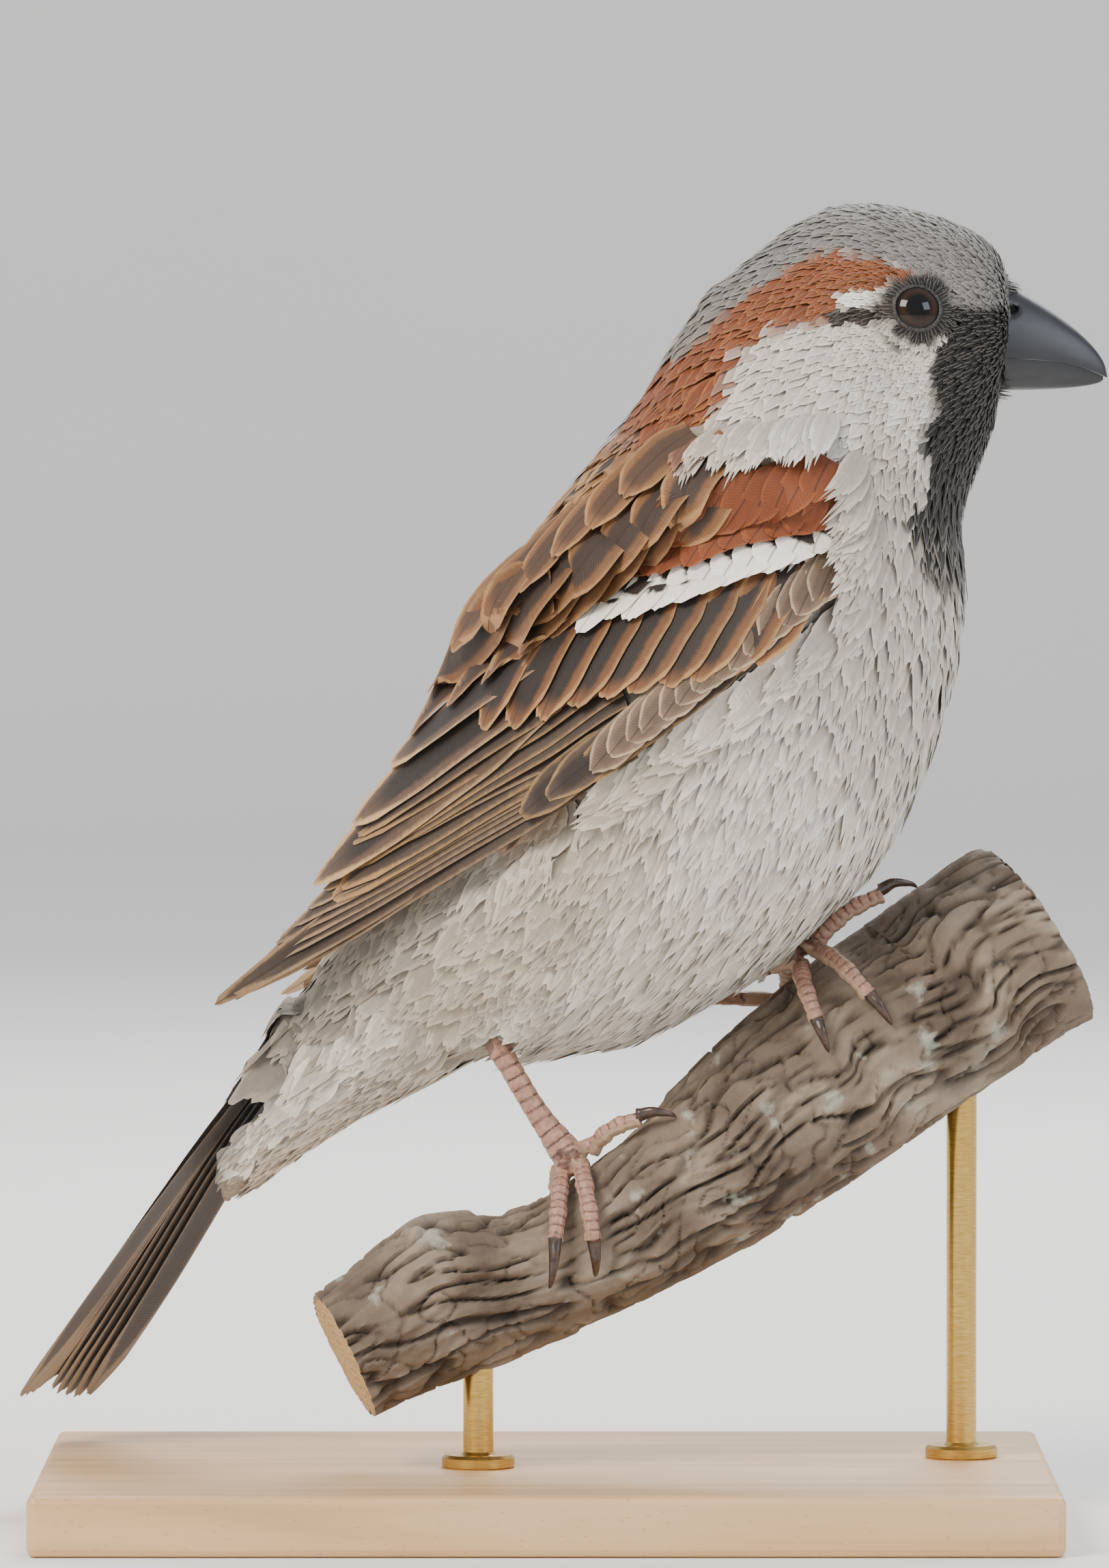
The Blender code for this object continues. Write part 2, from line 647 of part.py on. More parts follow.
for side_name, leg in LEGS.items():
    side = leg["side"]
    hip, heel = (beside(x, z, side * far) for x, z, far in leg["thigh"])
    thigh_points = [hip + (heel - hip) * t for t in (-0.25, -0.1, 0.15, 0.4, 0.65, 0.9, 1.05)]
    thigh_radii = [THIGH_RADIUS * r for r in (0.45, 0.85, 1.0, 0.9, 0.7, 0.5, 0.28)]
    name = "thigh_" + side_name
    thigh_mesh = tube_mesh(name, thigh_points, thigh_radii, 4)
    thigh = add_object(name, thigh_mesh, BODY_FEATHERS)

    foot_x, foot_degrees = leg["foot"]
    pad = on_branch(foot_x, foot_degrees, PAD_RADIUS * 0.9 + GAP)
    shank = [beside(x, z, side * far) for x, z, far in leg["tarsus"]] + [pad]
    route = [at(shank, p) for p in np.linspace(0, 3, 10)]
    route.append(pad + (route[-1] - route[-2]) * 0.7)
    tarsus_radii = [TARSUS_RADIUS * r for r in (1.3, 1.15, 1.0, 1.0, 1.0, 1.0, 1.05, 1.15)]
    tarsus_radii += [PAD_RADIUS * r for r in (0.78, 0.86, 0.55)]
    name = "tarsus_" + side_name
    tarsus_mesh = tube_mesh(name, route, tarsus_radii)
    add_object(name, tarsus_mesh, LEG_SKIN)

    thigh_cutter = cutter_of(thigh.name, thigh_mesh)
    tarsus_cutter = cutter_of(name, tarsus_mesh)
    cut(thigh, tarsus_cutter, branch_cutter)
    cut(trunk, thigh_cutter, tarsus_cutter)
    for toe_name, numbers in TOES[side_name].items():
        add_toe(side_name, toe_name, foot_x, foot_degrees, *numbers)


clean(head, neck, trunk)


# --- Stand ------------------------------------------------------------------------------------------

work = bmesh.new()
bmesh.ops.create_cube(work, size=MM)
bmesh.ops.scale(work, verts=work.verts, vec=(BASE_LENGTH, BASE_DEPTH, BASE_HEIGHT))
bmesh.ops.translate(work, verts=work.verts, vec=(0, 0, BASE_HEIGHT / 2 * MM))
base_mesh = bpy.data.meshes.new("stand_base")
work.to_mesh(base_mesh)
work.free()
base = add_object("stand_base", base_mesh, STAND_WOOD)
edge = base.modifiers.new("edge", "BEVEL")
edge.width = BASE_EDGE * MM
edge.segments = 2

for number, rod_x in enumerate(ROD_XS, 1):
    centre, radius, along, up, _ = branch_frame(rod_x)
    underside = on_branch(rod_x, 180)
    top = underside[2] + ROD_IN_BRANCH + radius * 0.35
    foot = BASE_HEIGHT - ROD_IN_BASE
    rod_y = underside[1]
    profile = (
        (0, top),
        (ROD_RADIUS, top),
        (ROD_RADIUS, BASE_HEIGHT + GAP + FLANGE_HEIGHT),
        (FLANGE_RADIUS, BASE_HEIGHT + GAP + FLANGE_HEIGHT),
        (FLANGE_RADIUS, BASE_HEIGHT + GAP),
        (ROD_RADIUS, BASE_HEIGHT + GAP),
        (ROD_RADIUS, foot),
        (0, foot),
    )
    name = f"stand_rod_{number}"
    outline = bpy.data.meshes.new(name)
    outline.from_pydata([(r * MM, 0, z * MM) for r, z in profile], [(i, i + 1) for i in range(7)], [])
    rod = add_object(name, outline, STAND_METAL)
    rod.location = (underside[0] * MM, rod_y * MM, 0)
    turned = rod.modifiers.new("turned", "SCREW")
    turned.steps = turned.render_steps = 12
    turned.use_merge_vertices = True
    turned.merge_threshold = 0.00001
    turned.use_smooth_shade = True

    work = bmesh.new()
    bmesh.ops.create_cone(
        work,
        cap_ends=True,
        segments=12,
        radius1=(ROD_RADIUS + GAP) * MM,
        radius2=(ROD_RADIUS + GAP) * MM,
        depth=(top - foot + 2 * GAP) * MM,
    )
    bmesh.ops.translate(work, verts=work.verts, vec=(underside[0] * MM, rod_y * MM, (top + foot) / 2 * MM))
    drill_mesh = bpy.data.meshes.new("drill")
    work.to_mesh(drill_mesh)
    work.free()
    drill = add_object(f"cut stand_rod_{number}", drill_mesh, None, cutters)
    cut(base, drill)
    cut(branch, drill)
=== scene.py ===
# %% [markdown]
# # A house sparrow on its perch
#
# This lesson dresses a set of plain, exact solids as a museum model of a male house sparrow: skin, a coat
# of separate feathers, wings, tail, bill, eyes, feet, a cut branch and a small stand. The solids give every
# place and size, and the lesson never moves them. It only builds finer pieces over them and paints them.
#
# Two things make a bird look like a bird. One is its outline, which the solids already have. The other is
# order: each feather grows from its own place, lies along the body, and covers the roots of the next row.
# So most of this file is about laying some thousands of small meshes in good order with numpy.

import json
import math

import bpy
import numpy as np
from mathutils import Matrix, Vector, noise
from mathutils.bvhtree import BVHTree
from mathutils.kdtree import KDTree

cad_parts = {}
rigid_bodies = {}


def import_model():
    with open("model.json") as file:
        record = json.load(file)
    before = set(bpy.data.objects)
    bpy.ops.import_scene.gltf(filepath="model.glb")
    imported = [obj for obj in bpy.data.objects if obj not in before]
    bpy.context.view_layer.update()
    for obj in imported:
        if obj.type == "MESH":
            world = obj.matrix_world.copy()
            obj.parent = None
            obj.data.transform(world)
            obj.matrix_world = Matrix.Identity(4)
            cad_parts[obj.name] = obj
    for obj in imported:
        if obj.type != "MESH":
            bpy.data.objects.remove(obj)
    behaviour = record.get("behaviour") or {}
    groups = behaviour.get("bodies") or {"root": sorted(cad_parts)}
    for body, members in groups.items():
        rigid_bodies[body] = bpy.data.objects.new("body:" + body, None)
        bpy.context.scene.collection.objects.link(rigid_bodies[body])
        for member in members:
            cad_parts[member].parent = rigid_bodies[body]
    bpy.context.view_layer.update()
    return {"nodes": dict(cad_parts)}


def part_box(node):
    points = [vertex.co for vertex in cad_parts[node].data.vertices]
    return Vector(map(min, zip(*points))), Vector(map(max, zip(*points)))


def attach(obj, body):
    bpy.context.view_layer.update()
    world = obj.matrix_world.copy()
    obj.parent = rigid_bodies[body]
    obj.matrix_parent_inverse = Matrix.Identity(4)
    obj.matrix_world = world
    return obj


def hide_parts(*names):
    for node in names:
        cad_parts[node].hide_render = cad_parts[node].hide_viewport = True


for old in list(bpy.data.objects):
    bpy.data.objects.remove(old, do_unlink=True)

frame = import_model()
MM = 0.001  # every size below is in millimetres, and becomes metres only when a mesh is made

# %% [markdown]
# ## Small tools
#
# A hex colour is how a screen stores it, on the sRGB curve. Cycles adds light, so it needs linear numbers,
# and one function turns every colour of the lesson. Materials are built from nodes in code: one short
# function puts a node on the tree, sets its options and joins its sockets, which keeps each material
# readable from top to bottom.
#
# Meshes come from numpy arrays, because a coat of feathers is far too big for Blender's tools to build one
# by one. Most pieces here are rows of points that close on themselves, like the hoops of a barrel: a toe,
# the bill, the eye, the branch, a feather, even the floor. So two small functions join the hoops of all of
# them: one with quads between the hoops, and one with triangles over an end.

# %% Colours and nodes


def linear(hex_colour):
    """An sRGB hex colour as linear red, green, blue and alpha."""
    channels = [int(hex_colour[i : i + 2], 16) / 255 for i in (0, 2, 4)]
    return [c / 12.92 if c <= 0.04045 else ((c + 0.055) / 1.055) ** 2.4 for c in channels] + [1.0]


def wire(node, inputs):
    """Fills a node's inputs, by name or in order, with values or with links from other nodes."""
    for socket, value in inputs.items() if isinstance(inputs, dict) else enumerate(inputs):
        if isinstance(value, bpy.types.Node):
            value = next(out for out in value.outputs if out.enabled)
        if isinstance(value, bpy.types.NodeSocket):
            node.id_data.links.new(value, node.inputs[socket])
        else:
            node.inputs[socket].default_value = value


def put(tree, kind, inputs=(), ramp=(), **settings):
    """Adds a node with its settings and its inputs. A ramp lists its stops."""
    made = tree.nodes.new("ShaderNode" + kind)
    for option, value in settings.items():
        setattr(made, option, value)
    wire(made, inputs)
    for i, (place, colour) in enumerate(ramp):
        stops = made.color_ramp.elements
        stop = stops[i] if i < 2 else stops.new(place)
        stop.position = place
        stop.color = linear(colour)
    return made


def new_material(name, **constants):
    """A material, its nodes and its shader, with the values that are the same all over its surface."""
    made = bpy.data.materials.new(name)
    made.use_nodes = True
    shader = made.node_tree.nodes["Principled BSDF"]
    wire(shader, {socket.replace("_", " "): value for socket, value in constants.items()})
    return made, made.node_tree, shader


def finish_with(tree, shader, colour, height, strength, depth):
    """Ends a material with its colour and its relief, whose depth is in millimetres."""
    bump = put(tree, "Bump", {"Height": height, "Strength": strength, "Distance": depth * MM})
    wire(shader, {"Base Color": colour, "Normal": bump})


COLOURS = {"data_type": "RGBA"}  # a mix of colours: 0 is its share, 6 the first colour and 7 the second
TIMES, TIMES_PLUS = {"operation": "MULTIPLY"}, {"operation": "MULTIPLY_ADD"}
SMOOTH = {"interpolation_type": "SMOOTHSTEP"}  # a range: value, from low, from high, to low, to high
print("the grey 808080 is", round(linear("808080")[0], 3), "in linear light")

# %% Meshes and pieces


def mesh_of(name, points, quads=(), triangles=(), sharp=60):
    """A mesh from points in millimetres and arrays of corners, smooth but for its sharp edges."""
    quads = np.asarray(quads, np.int32).reshape(-1, 4)
    triangles = np.asarray(triangles, np.int32).reshape(-1, 3)
    corners = np.concatenate([quads.ravel(), triangles.ravel()])
    starts = np.concatenate([np.arange(len(quads)) * 4, len(quads) * 4 + np.arange(len(triangles)) * 3])
    mesh = bpy.data.meshes.new(name)
    mesh.vertices.add(len(points))
    mesh.vertices.foreach_set("co", (np.asarray(points) * MM).astype(np.float32).ravel())
    mesh.loops.add(len(corners))
    mesh.loops.foreach_set("vertex_index", corners)
    mesh.polygons.add(len(starts))
    mesh.polygons.foreach_set("loop_start", starts.astype(np.int32))
    mesh.update(calc_edges=True)
    mesh.shade_smooth()
    mesh.set_sharp_from_angle(angle=math.radians(sharp))
    return mesh


def paint(mesh, label, values):
    """Gives every point of a mesh up to four numbers, which a material reads by their label."""
    values = np.concatenate([values, np.ones((len(values), 4 - values.shape[1]))], axis=1)
    layer = mesh.color_attributes.new(name=label, type="FLOAT_COLOR", domain="POINT")
    layer.data.foreach_set("color", values.astype(np.float32).ravel())


def piece(name, mesh, finish, slot, *nodes):
    """Shows a mesh as a piece of the model, in a finish, in place of some of the solids."""
    made = bpy.data.objects.new(name, mesh)
    bpy.context.scene.collection.objects.link(made)
    mesh.materials.clear()
    mesh.materials.append(finish)
    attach(made, "root")
    if nodes:
        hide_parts(*nodes)
    print(f"{name}: {len(mesh.polygons)} faces")


def hoops(index, flip=False):
    """Quads between rows of points that each close on themselves."""
    turned = np.roll(index, -1, axis=1)
    quads = np.stack([index[:-1], turned[:-1], turned[1:], index[1:]], axis=-1).reshape(-1, 4)
    return quads[:, [0, 3, 2, 1]] if flip else quads


def lid_on(ring):
    """Triangles that fill a ring of points, fanned out from its first one."""
    return np.stack([np.full(len(ring) - 2, ring[0]), ring[1:-1], ring[2:]], axis=1)


def barrel(rows, sides, flip=False):
    """The quads and the end triangles of a closed solid made of hoops."""
    index = np.arange(rows * sides).reshape(rows, sides)
    ends = np.concatenate([lid_on(index[0])[:, ::-1], lid_on(index[-1])])
    return hoops(index, flip), ends[:, ::-1] if flip else ends


def circle(sides):
    """Even steps once round, as angles."""
    return np.linspace(0, 2 * math.pi, sides, endpoint=False)


def spun(profile, sides, middle=(0, 0)):
    """A profile of radii and heights, turned round an upright axis."""
    x, y = middle[:2]
    return [(x + r * math.cos(a), y + r * math.sin(a), z) for r, z in profile for a in circle(sides)]


# %% Arithmetic on many points


def length_of(vectors):
    """The length of each vector."""
    return np.linalg.norm(vectors, axis=-1)


def unit(vectors):
    """Vectors at length one."""
    return vectors / np.maximum(length_of(vectors)[..., None], 1e-9)


def dot(a, b):
    """How far each vector reaches along its partner."""
    return (a * b).sum(-1)


def ease(x, start, end):
    """0 on the start's side, 1 on the end's side, and a smooth slope between. Either may be the greater."""
    t = np.clip((x - start) / (end - start), 0, 1)
    return t * t * (3 - 2 * t)


def steps_along(line):
    """How far along a line each of its points is."""
    return np.concatenate([[0], length_of(np.diff(line, axis=0)).cumsum()])


def mottle(points, size, seed=0):
    """Smooth noise from about -1 to 1 at each point, with patches of this size in millimetres."""
    shift = Vector((seed * 17.3, seed * 5.1, seed * 9.7))
    return np.array([noise.noise(Vector(p) / size + shift) for p in points]) * 1.6


def surface_tree(points, *faces):
    """Finds the nearest place on a surface, or where a ray meets it."""
    return BVHTree.FromPolygons(points.tolist(), [corners for part in faces for corners in part.tolist()])


def point_tree(points):
    """Finds the nearest of many points."""
    tree = KDTree(len(points))
    for i, p in enumerate(points.tolist()):
        tree.insert(p, i)
    tree.balance()
    return tree


def gap_to(tree, points):
    """The distance from each point to the nearest place on a surface."""
    return np.array([tree.find_nearest(p)[3] for p in points.tolist()])


print("halfway up a slope from 0 to 2:", ease(1.0, 0, 2))

# %% [markdown]
# ## Reading the solids
#
# Where is the bill's base, how long is the trunk, which way does a toe run? All of that is in the solids,
# so it is measured and not typed in. Vertices alone are a poor guide, because a flat side has few of them.
# Points spread evenly by area are better: their mean is the middle of a piece, and the means of thin slices
# give its centre line.

# %% Read a solid


def solid(name):
    """A solid's welded points in millimetres, and its triangles."""
    mesh = frame["nodes"][name].data
    mesh.calc_loop_triangles()
    points = np.array([v.co for v in mesh.vertices]) / MM
    corners = np.array([t.vertices for t in mesh.loop_triangles])
    _, first, same = np.unique(np.round(points, 3), axis=0, return_index=True, return_inverse=True)
    return points[first], same.reshape(-1)[corners]


def joined(names):
    """Several solids' points and triangles as one."""
    points, triangles, count = [], [], 0
    for name in names:
        some, corners = solid(name)
        points.append(some)
        triangles.append(corners + count)
        count += len(some)
    return np.concatenate(points), np.concatenate(triangles)


def spread(points, triangles, count, weight=None, seed=1):
    """Points spread by area over triangles, thicker where the weight is high."""
    random = np.random.default_rng(seed)
    a, b, c = (points[triangles[:, i]] for i in range(3))
    area = length_of(np.cross(b - a, c - a)) / 2
    chance = area if weight is None else area * weight
    which = random.choice(len(triangles), count, p=chance / chance.sum())
    u, v = random.random((2, count, 1))
    over = u + v > 1
    u, v = np.where(over, 1 - u, u), np.where(over, 1 - v, v)
    return a[which] + (b - a)[which] * u + (c - a)[which] * v


def centre_line(points, triangles, count, along=None):
    """The middles of thin slices of a long solid, from end to end."""
    dots = spread(points, triangles, 6000)
    if along is None:
        along = np.linalg.svd(dots - dots.mean(0), full_matrices=False)[2][0]
    place = dots @ along
    edges = np.quantile(place, np.linspace(0, 1, count + 1))
    slices = [dots[(place >= low) & (place <= high)].mean(0) for low, high in zip(edges, edges[1:])]
    ends = [dots[place <= np.quantile(place, 0.01)].mean(0), dots[place >= np.quantile(place, 0.99)].mean(0)]
    return np.array([ends[0], *slices, ends[1]])


def curve_through(stops, count):
    """A smooth curve through the stops, as evenly spaced points."""
    stops = np.asarray(stops, float)
    ahead = np.vstack([2 * stops[0] - stops[1], stops, 2 * stops[-1] - stops[-2]])
    out = []
    for i in range(1, len(ahead) - 2):
        a, b, c, d = ahead[i - 1 : i + 3]
        for t in np.linspace(0, 1, 16, endpoint=False):
            bent = b + (c - a) * t / 2 + (2 * a - 5 * b + 4 * c - d) * t**2 / 2
            out.append(bent + (3 * b - a - 3 * c + d) * t**3 / 2)
    out = np.array(out + [stops[-1]])
    gone = steps_along(out)
    even = np.linspace(0, gone[-1], count)
    return np.stack([np.interp(even, gone, out[:, i]) for i in range(3)], axis=1)


def box_mm(name):
    """A solid's lowest and highest corners."""
    return np.array([list(corner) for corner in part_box(name)]) / MM


EYE, EYE_LEFT = box_mm("eye_right").mean(0), box_mm("eye_left").mean(0)
EYE_BALL = np.ptp(box_mm("eye_right")[:, 2]) / 2
HEAD_Y = (EYE[1] + EYE_LEFT[1]) / 2
BILL_BASE = np.array([box_mm("bill_upper")[0, 0], HEAD_Y, box_mm("bill_upper")[:, 2].mean()])
print(f"eyes at x {EYE[0]:.1f}, z {EYE[2]:.1f}, radius {EYE_BALL:.2f}; bill base {BILL_BASE.round(1)}")

# %% [markdown]
# ## The camera, the floor and the light
#
# A picture of a small bird is taken from a metre away with a long lens, so that its tail looks no smaller
# than its head. The camera is set almost level. The distance and the height of the framed field fix the
# lens: a long side of 36 mm on the sensor sees the whole field. The light is that of a plain studio: one
# big soft lamp high on the left, a weaker one from the right to open the shadows, and a third behind to
# draw the outline. A large lamp close to a small object wraps round it, which suits feathers. The floor is
# a round sheet of backdrop paper that curves up far away, so that a camera on any side sees no horizon.
# Such paper is matt and almost white, with clouds too faint to notice.

# %% Camera
FIELD_HEIGHT = 155.1  # what the long side of the picture takes in, at the bird
FIELD_MIDDLE = np.array([0.8, 0.0, 73.3])
CAMERA_DISTANCE = 1100.0
CAMERA_RISE = 2.0  # degrees above level
SENSOR = 36

rise = math.radians(CAMERA_RISE)
camera_data = bpy.data.cameras.new("camera")
camera_data.sensor_width = SENSOR
camera_data.lens = SENSOR * CAMERA_DISTANCE / FIELD_HEIGHT
camera_data.clip_start = 0.01
camera = bpy.data.objects.new("camera", camera_data)
bpy.context.scene.collection.objects.link(camera)
back = np.array([0, -math.cos(rise), math.sin(rise)])
camera.location = (FIELD_MIDDLE + back * CAMERA_DISTANCE) * MM
camera.rotation_euler = (math.radians(90 - CAMERA_RISE), 0, 0)
bpy.context.scene.camera = camera
print(f"lens {camera_data.lens:.0f} mm from {CAMERA_DISTANCE:.0f} mm away")

# %% Floor and lamps
floor_finish, tree, shader = new_material("pale matt backdrop paper", Roughness=0.9)
clouds = put(tree, "TexNoise", {"Scale": 6.0, "Detail": 3.0})
wire(shader, {"Base Color": put(tree, "ValToRGB", [clouds], ramp=[(0.3, "eceae6"), (0.7, "f2f0ed")])})

FLOOR_RADIUS, RIM_RADIUS, RIM_TOP, AROUND = 1700, 500, 900, 64
profile = [(0.1, 0), (600, 0), (FLOOR_RADIUS, 0)]
for bend in np.linspace(0.1, math.pi / 2, 14):
    profile.append((FLOOR_RADIUS + RIM_RADIUS * math.sin(bend), RIM_RADIUS * (1 - math.cos(bend))))
profile.append((FLOOR_RADIUS + RIM_RADIUS, RIM_TOP))
floor_faces, _ = barrel(len(profile), AROUND)
floor = bpy.data.objects.new("floor", mesh_of("floor", spun(profile, AROUND), floor_faces))
floor.data.materials.append(floor_finish)
bpy.context.scene.collection.objects.link(floor)

# name: where it stands, how wide it is, watts, colour
LAMPS = {
    "key": ((-520, -620, 700), 420, 12.0, "fff6ea"),
    "fill": ((760, -560, 520), 420, 3.8, "eaf2ff"),
    "rim": ((150, 600, 620), 380, 6.0, "ffffff"),
}
for name, (at, size, watts, colour) in LAMPS.items():
    data = bpy.data.lights.new(name, "AREA")
    data.shape = "SQUARE"
    data.size = size * MM
    data.energy = watts
    data.color = linear(colour)[:3]
    lamp = bpy.data.objects.new(name, data)
    lamp.location = np.array(at) * MM
    aim = Vector(FIELD_MIDDLE * MM) - lamp.location
    lamp.rotation_euler = aim.to_track_quat("-Z", "Y").to_euler()
    bpy.context.scene.collection.objects.link(lamp)
world = bpy.data.worlds.new("studio")
world.use_nodes = True
wire(world.node_tree.nodes["Background"], {"Color": linear("dfe4ea"), "Strength": 1.1})
bpy.context.scene.world = world
print("a floor of radius", FLOOR_RADIUS + RIM_RADIUS, "mm and", len(LAMPS), "lamps")

# %% [markdown]
# ## The skin
#
# Under its feathers a bird has one skin, with no seam between head, neck and trunk. The solids are parted
# by thin cuts, so their copies are swollen a little to close them, and a voxel remesh wraps everything in
# one even mesh. A few rounds of smoothing take away the steps. Shrinking the result by the depth of the
# coat leaves room for the feathers, and their tips then come back out to the outline of the solids. The
# wings' fleshy front halves are wrapped in too, so that no hollow shows between one covert and the next.

# %% Wrap the solids
FLESH = ["head", "neck", "trunk", "thigh_left", "thigh_right"]
BACKING = ["wing_left_coverts", "wing_right_coverts"]
LAYERS = ("coverts", "secondaries", "primaries")
WINGS = [f"wing_{side}_{layer}" for side in ("left", "right") for layer in LAYERS]
VOXEL = 0.75
SWELL = 0.28


def corner_normals(points, faces):
    """Normals of the points of a mesh of triangles or quads."""
    a, b, c, d = (points[faces[:, i]] for i in (0, 1, 2, -1))
    across = np.cross(b - a, c - a) if faces.shape[1] == 3 else np.cross(c - a, d - b)
    total = np.zeros_like(points)
    for axis in range(3):
        for corner in range(faces.shape[1]):
            total[:, axis] += np.bincount(faces[:, corner], across[:, axis], len(points))
    return unit(total)


def wrapped(names, voxel, swell, links=()):
    """One closed, even mesh of quads round several solids, and round the links that join them."""
    points, triangles = joined(names)
    points = points + corner_normals(points, triangles) * swell
    for link_points, link_triangles in links:
        triangles = np.concatenate([triangles, link_triangles + len(points)])
        points = np.concatenate([points, link_points])
    rough = bpy.data.objects.new("wrap", mesh_of("wrap", points, triangles=triangles))
    bpy.context.scene.collection.objects.link(rough)
    remesh = rough.modifiers.new("wrap", "REMESH")
    remesh.mode = "VOXEL"
    remesh.voxel_size = voxel * MM
    bpy.context.view_layer.update()
    made = rough.evaluated_get(bpy.context.evaluated_depsgraph_get()).to_mesh()
    points = np.array([v.co for v in made.vertices]) / MM
    quads = np.array([p.vertices for p in made.polygons if len(p.vertices) == 4])
    bpy.data.objects.remove(rough, do_unlink=True)
    return points, quads


def smoothed(points, quads, rounds, pull=0.5, push=-0.52):
    """Irons out small bumps, with a push back after each pull so that the body doesn't shrink."""
    links = np.concatenate([quads[:, [i, (i + 1) % 4]] for i in range(4)])
    starts, ends = np.concatenate([links, links[:, ::-1]]).T
    count = np.bincount(starts, minlength=len(points))
    for step in range(rounds * 2):
        total = [np.bincount(starts, points[ends, i], len(points)) for i in range(3)]
        middle = np.stack(total, axis=1) / count[:, None]
        points = points + (middle - points) * (pull if step % 2 == 0 else push)
    return points


form, skin_quads = wrapped(FLESH + BACKING, VOXEL, SWELL)
form = smoothed(form, skin_quads, 30)
form_normals = corner_normals(form, skin_quads)
FORM_TREE = surface_tree(form, skin_quads)
print(f"the wrap has {len(form)} points, from {form.min(0).round(1)} to {form.max(0).round(1)}")

# %% [markdown]
# ## Finding the way on the body
#
# Every marking and every feather's direction is described in a bird's own terms: how far back from the
# bill, and how far round from the middle of the back. A curved line through the middles of head, neck and
# trunk gives both. Each point looks up the nearest stretch of that line, blended over its neighbours so
# that nothing jumps where the line bends.

# %% The body's own line
trunk_way = unit(box_mm("tail").sum(0) - box_mm("neck").sum(0))
stops = [BILL_BASE - [0, 0, 1.5], *(spread(*solid(name), 3000).mean(0) for name in ("head", "neck"))]
stops += list(centre_line(*solid("trunk"), 7, trunk_way)[2:-1])
BODY_LINE = curve_through(stops, 180)
BODY_STEPS = steps_along(BODY_LINE)
BODY_LENGTH = BODY_STEPS[-1]
BODY_WAY = unit(np.gradient(BODY_LINE, axis=0))
BODY_UP = unit(np.array([0, 0, 1.0]) - BODY_WAY * BODY_WAY[:, 2:])
BODY_LEFT = np.cross(BODY_WAY, BODY_UP)
BLEND = 40.0  # how widely a point looks along the line, in square millimetres


def on_body(points):
    """How far back from the bill each point is, how far round from the back, and the way to the tail."""
    gap = ((points[:, None] - BODY_LINE[None]) ** 2).sum(-1)
    share = np.exp(-(gap - gap.min(1, keepdims=True)) / BLEND)
    share /= share.sum(1, keepdims=True)
    out = points - share @ BODY_LINE
    left, up = unit(share @ BODY_LEFT), unit(share @ BODY_UP)
    return share @ BODY_STEPS, np.arctan2(dot(out, left), dot(out, up)), unit(share @ BODY_WAY)


def from_back(angles):
    """Degrees round from the middle of the back, on either side: 0 there, and 180 under the belly."""
    return np.abs(np.degrees(angles))


print(f"the body's line is {BODY_LENGTH:.0f} mm long")

# %% [markdown]
# ## Where the coat is short and where it is long
#
# A sparrow's feathers grow from about 2 mm at the bill to 10 mm and more on the back and belly, and the
# coverts over the tail's root are the longest. One rule gives the length at any place, and everything else
# follows from it: how wide a feather is, how far apart its neighbours stand, and how deep the coat is
# there. Round the eye the feathers are as small as at the bill, or they would hang into it.

# %% Feather sizes
THIGH_ROOM = 5.2  # how far from the middle of a thigh its own short feathers grow
WING_TREE = surface_tree(*joined(BACKING))
THIGHS = [centre_line(*solid(name), 5)[1:-1] for name in ("thigh_left", "thigh_right")]
THIGHS = [line if line[0, 2] > line[-1, 2] else line[::-1] for line in THIGHS]


def from_line(points, line):
    """The distance to the nearest of a line's points."""
    return np.sqrt(((points[:, None] - line[None]) ** 2).sum(-1)).min(1)


def from_eye(points):
    """The distance from the middle of the nearer eye."""
    return np.minimum(length_of(points - EYE), length_of(points - EYE_LEFT))


def on_thigh(points):
    """Whether each point belongs to a thigh."""
    return np.minimum(*(from_line(points, line) for line in THIGHS)) < THIGH_ROOM


def feather_length(points):
    """The length of the body feathers that grow at each point."""
    t, a, _ = on_body(points)
    length = np.interp(t, [0, 4, 9, 15, 25, 40, 80, 92, 103], [1.7, 2.2, 3.4, 4.8, 7.6, 9.6, 9.2, 7.6, 6.4])
    length = length * (1 + 0.6 * ease(t, 86, 98) * ease(from_back(a), 105, 70))
    length = np.minimum(length, 1.5 + 0.42 * np.maximum(from_eye(points) - EYE_BALL - 0.4, 0))
    return np.where(on_thigh(points), np.minimum(length, 4.6), length)


def coat_depth(length):
    """How deep the coat is where the feathers have this length."""
    return 0.26 + 0.15 * length


print("feathers are", feather_length(form[::500]).min().round(1), "mm long and more")

# %% Shrink the wrap by the depth of the coat
WING_BED = 1.3  # the depth that the layers of a folded wing take
NO_WALL = 50.0  # the thickness where a ray finds nothing behind the skin
THINNEST = 0.36  # the coat takes no more than this share of a thin place

inward = zip(form, form_normals)
thickness = np.array([FORM_TREE.ray_cast(Vector(p - n * 0.05), Vector(-n))[3] or NO_WALL for p, n in inward])
on_wing = gap_to(WING_TREE, form) < SWELL + 0.35
depth = np.where(on_wing, WING_BED, coat_depth(feather_length(form))) + SWELL
depth = np.minimum(depth, THINNEST * thickness)
skin_points = smoothed(form - form_normals * depth[:, None], skin_quads, 14)
skin_normals = corner_normals(skin_points, skin_quads)
tail_points, tail_triangles = solid("tail")
a, b, c = (tail_points[tail_triangles[:, i]] for i in range(3))
both = np.concatenate([skin_points, tail_points])
LIE_TREE = surface_tree(both, skin_quads, tail_triangles + len(skin_points))
LIE_NORMALS = np.concatenate([unit(skin_normals[skin_quads].sum(1)), unit(np.cross(b - a, c - a))])
print(f"the skin lies {depth.min() - SWELL:.2f} to {depth.max() - SWELL:.2f} mm inside the solids")


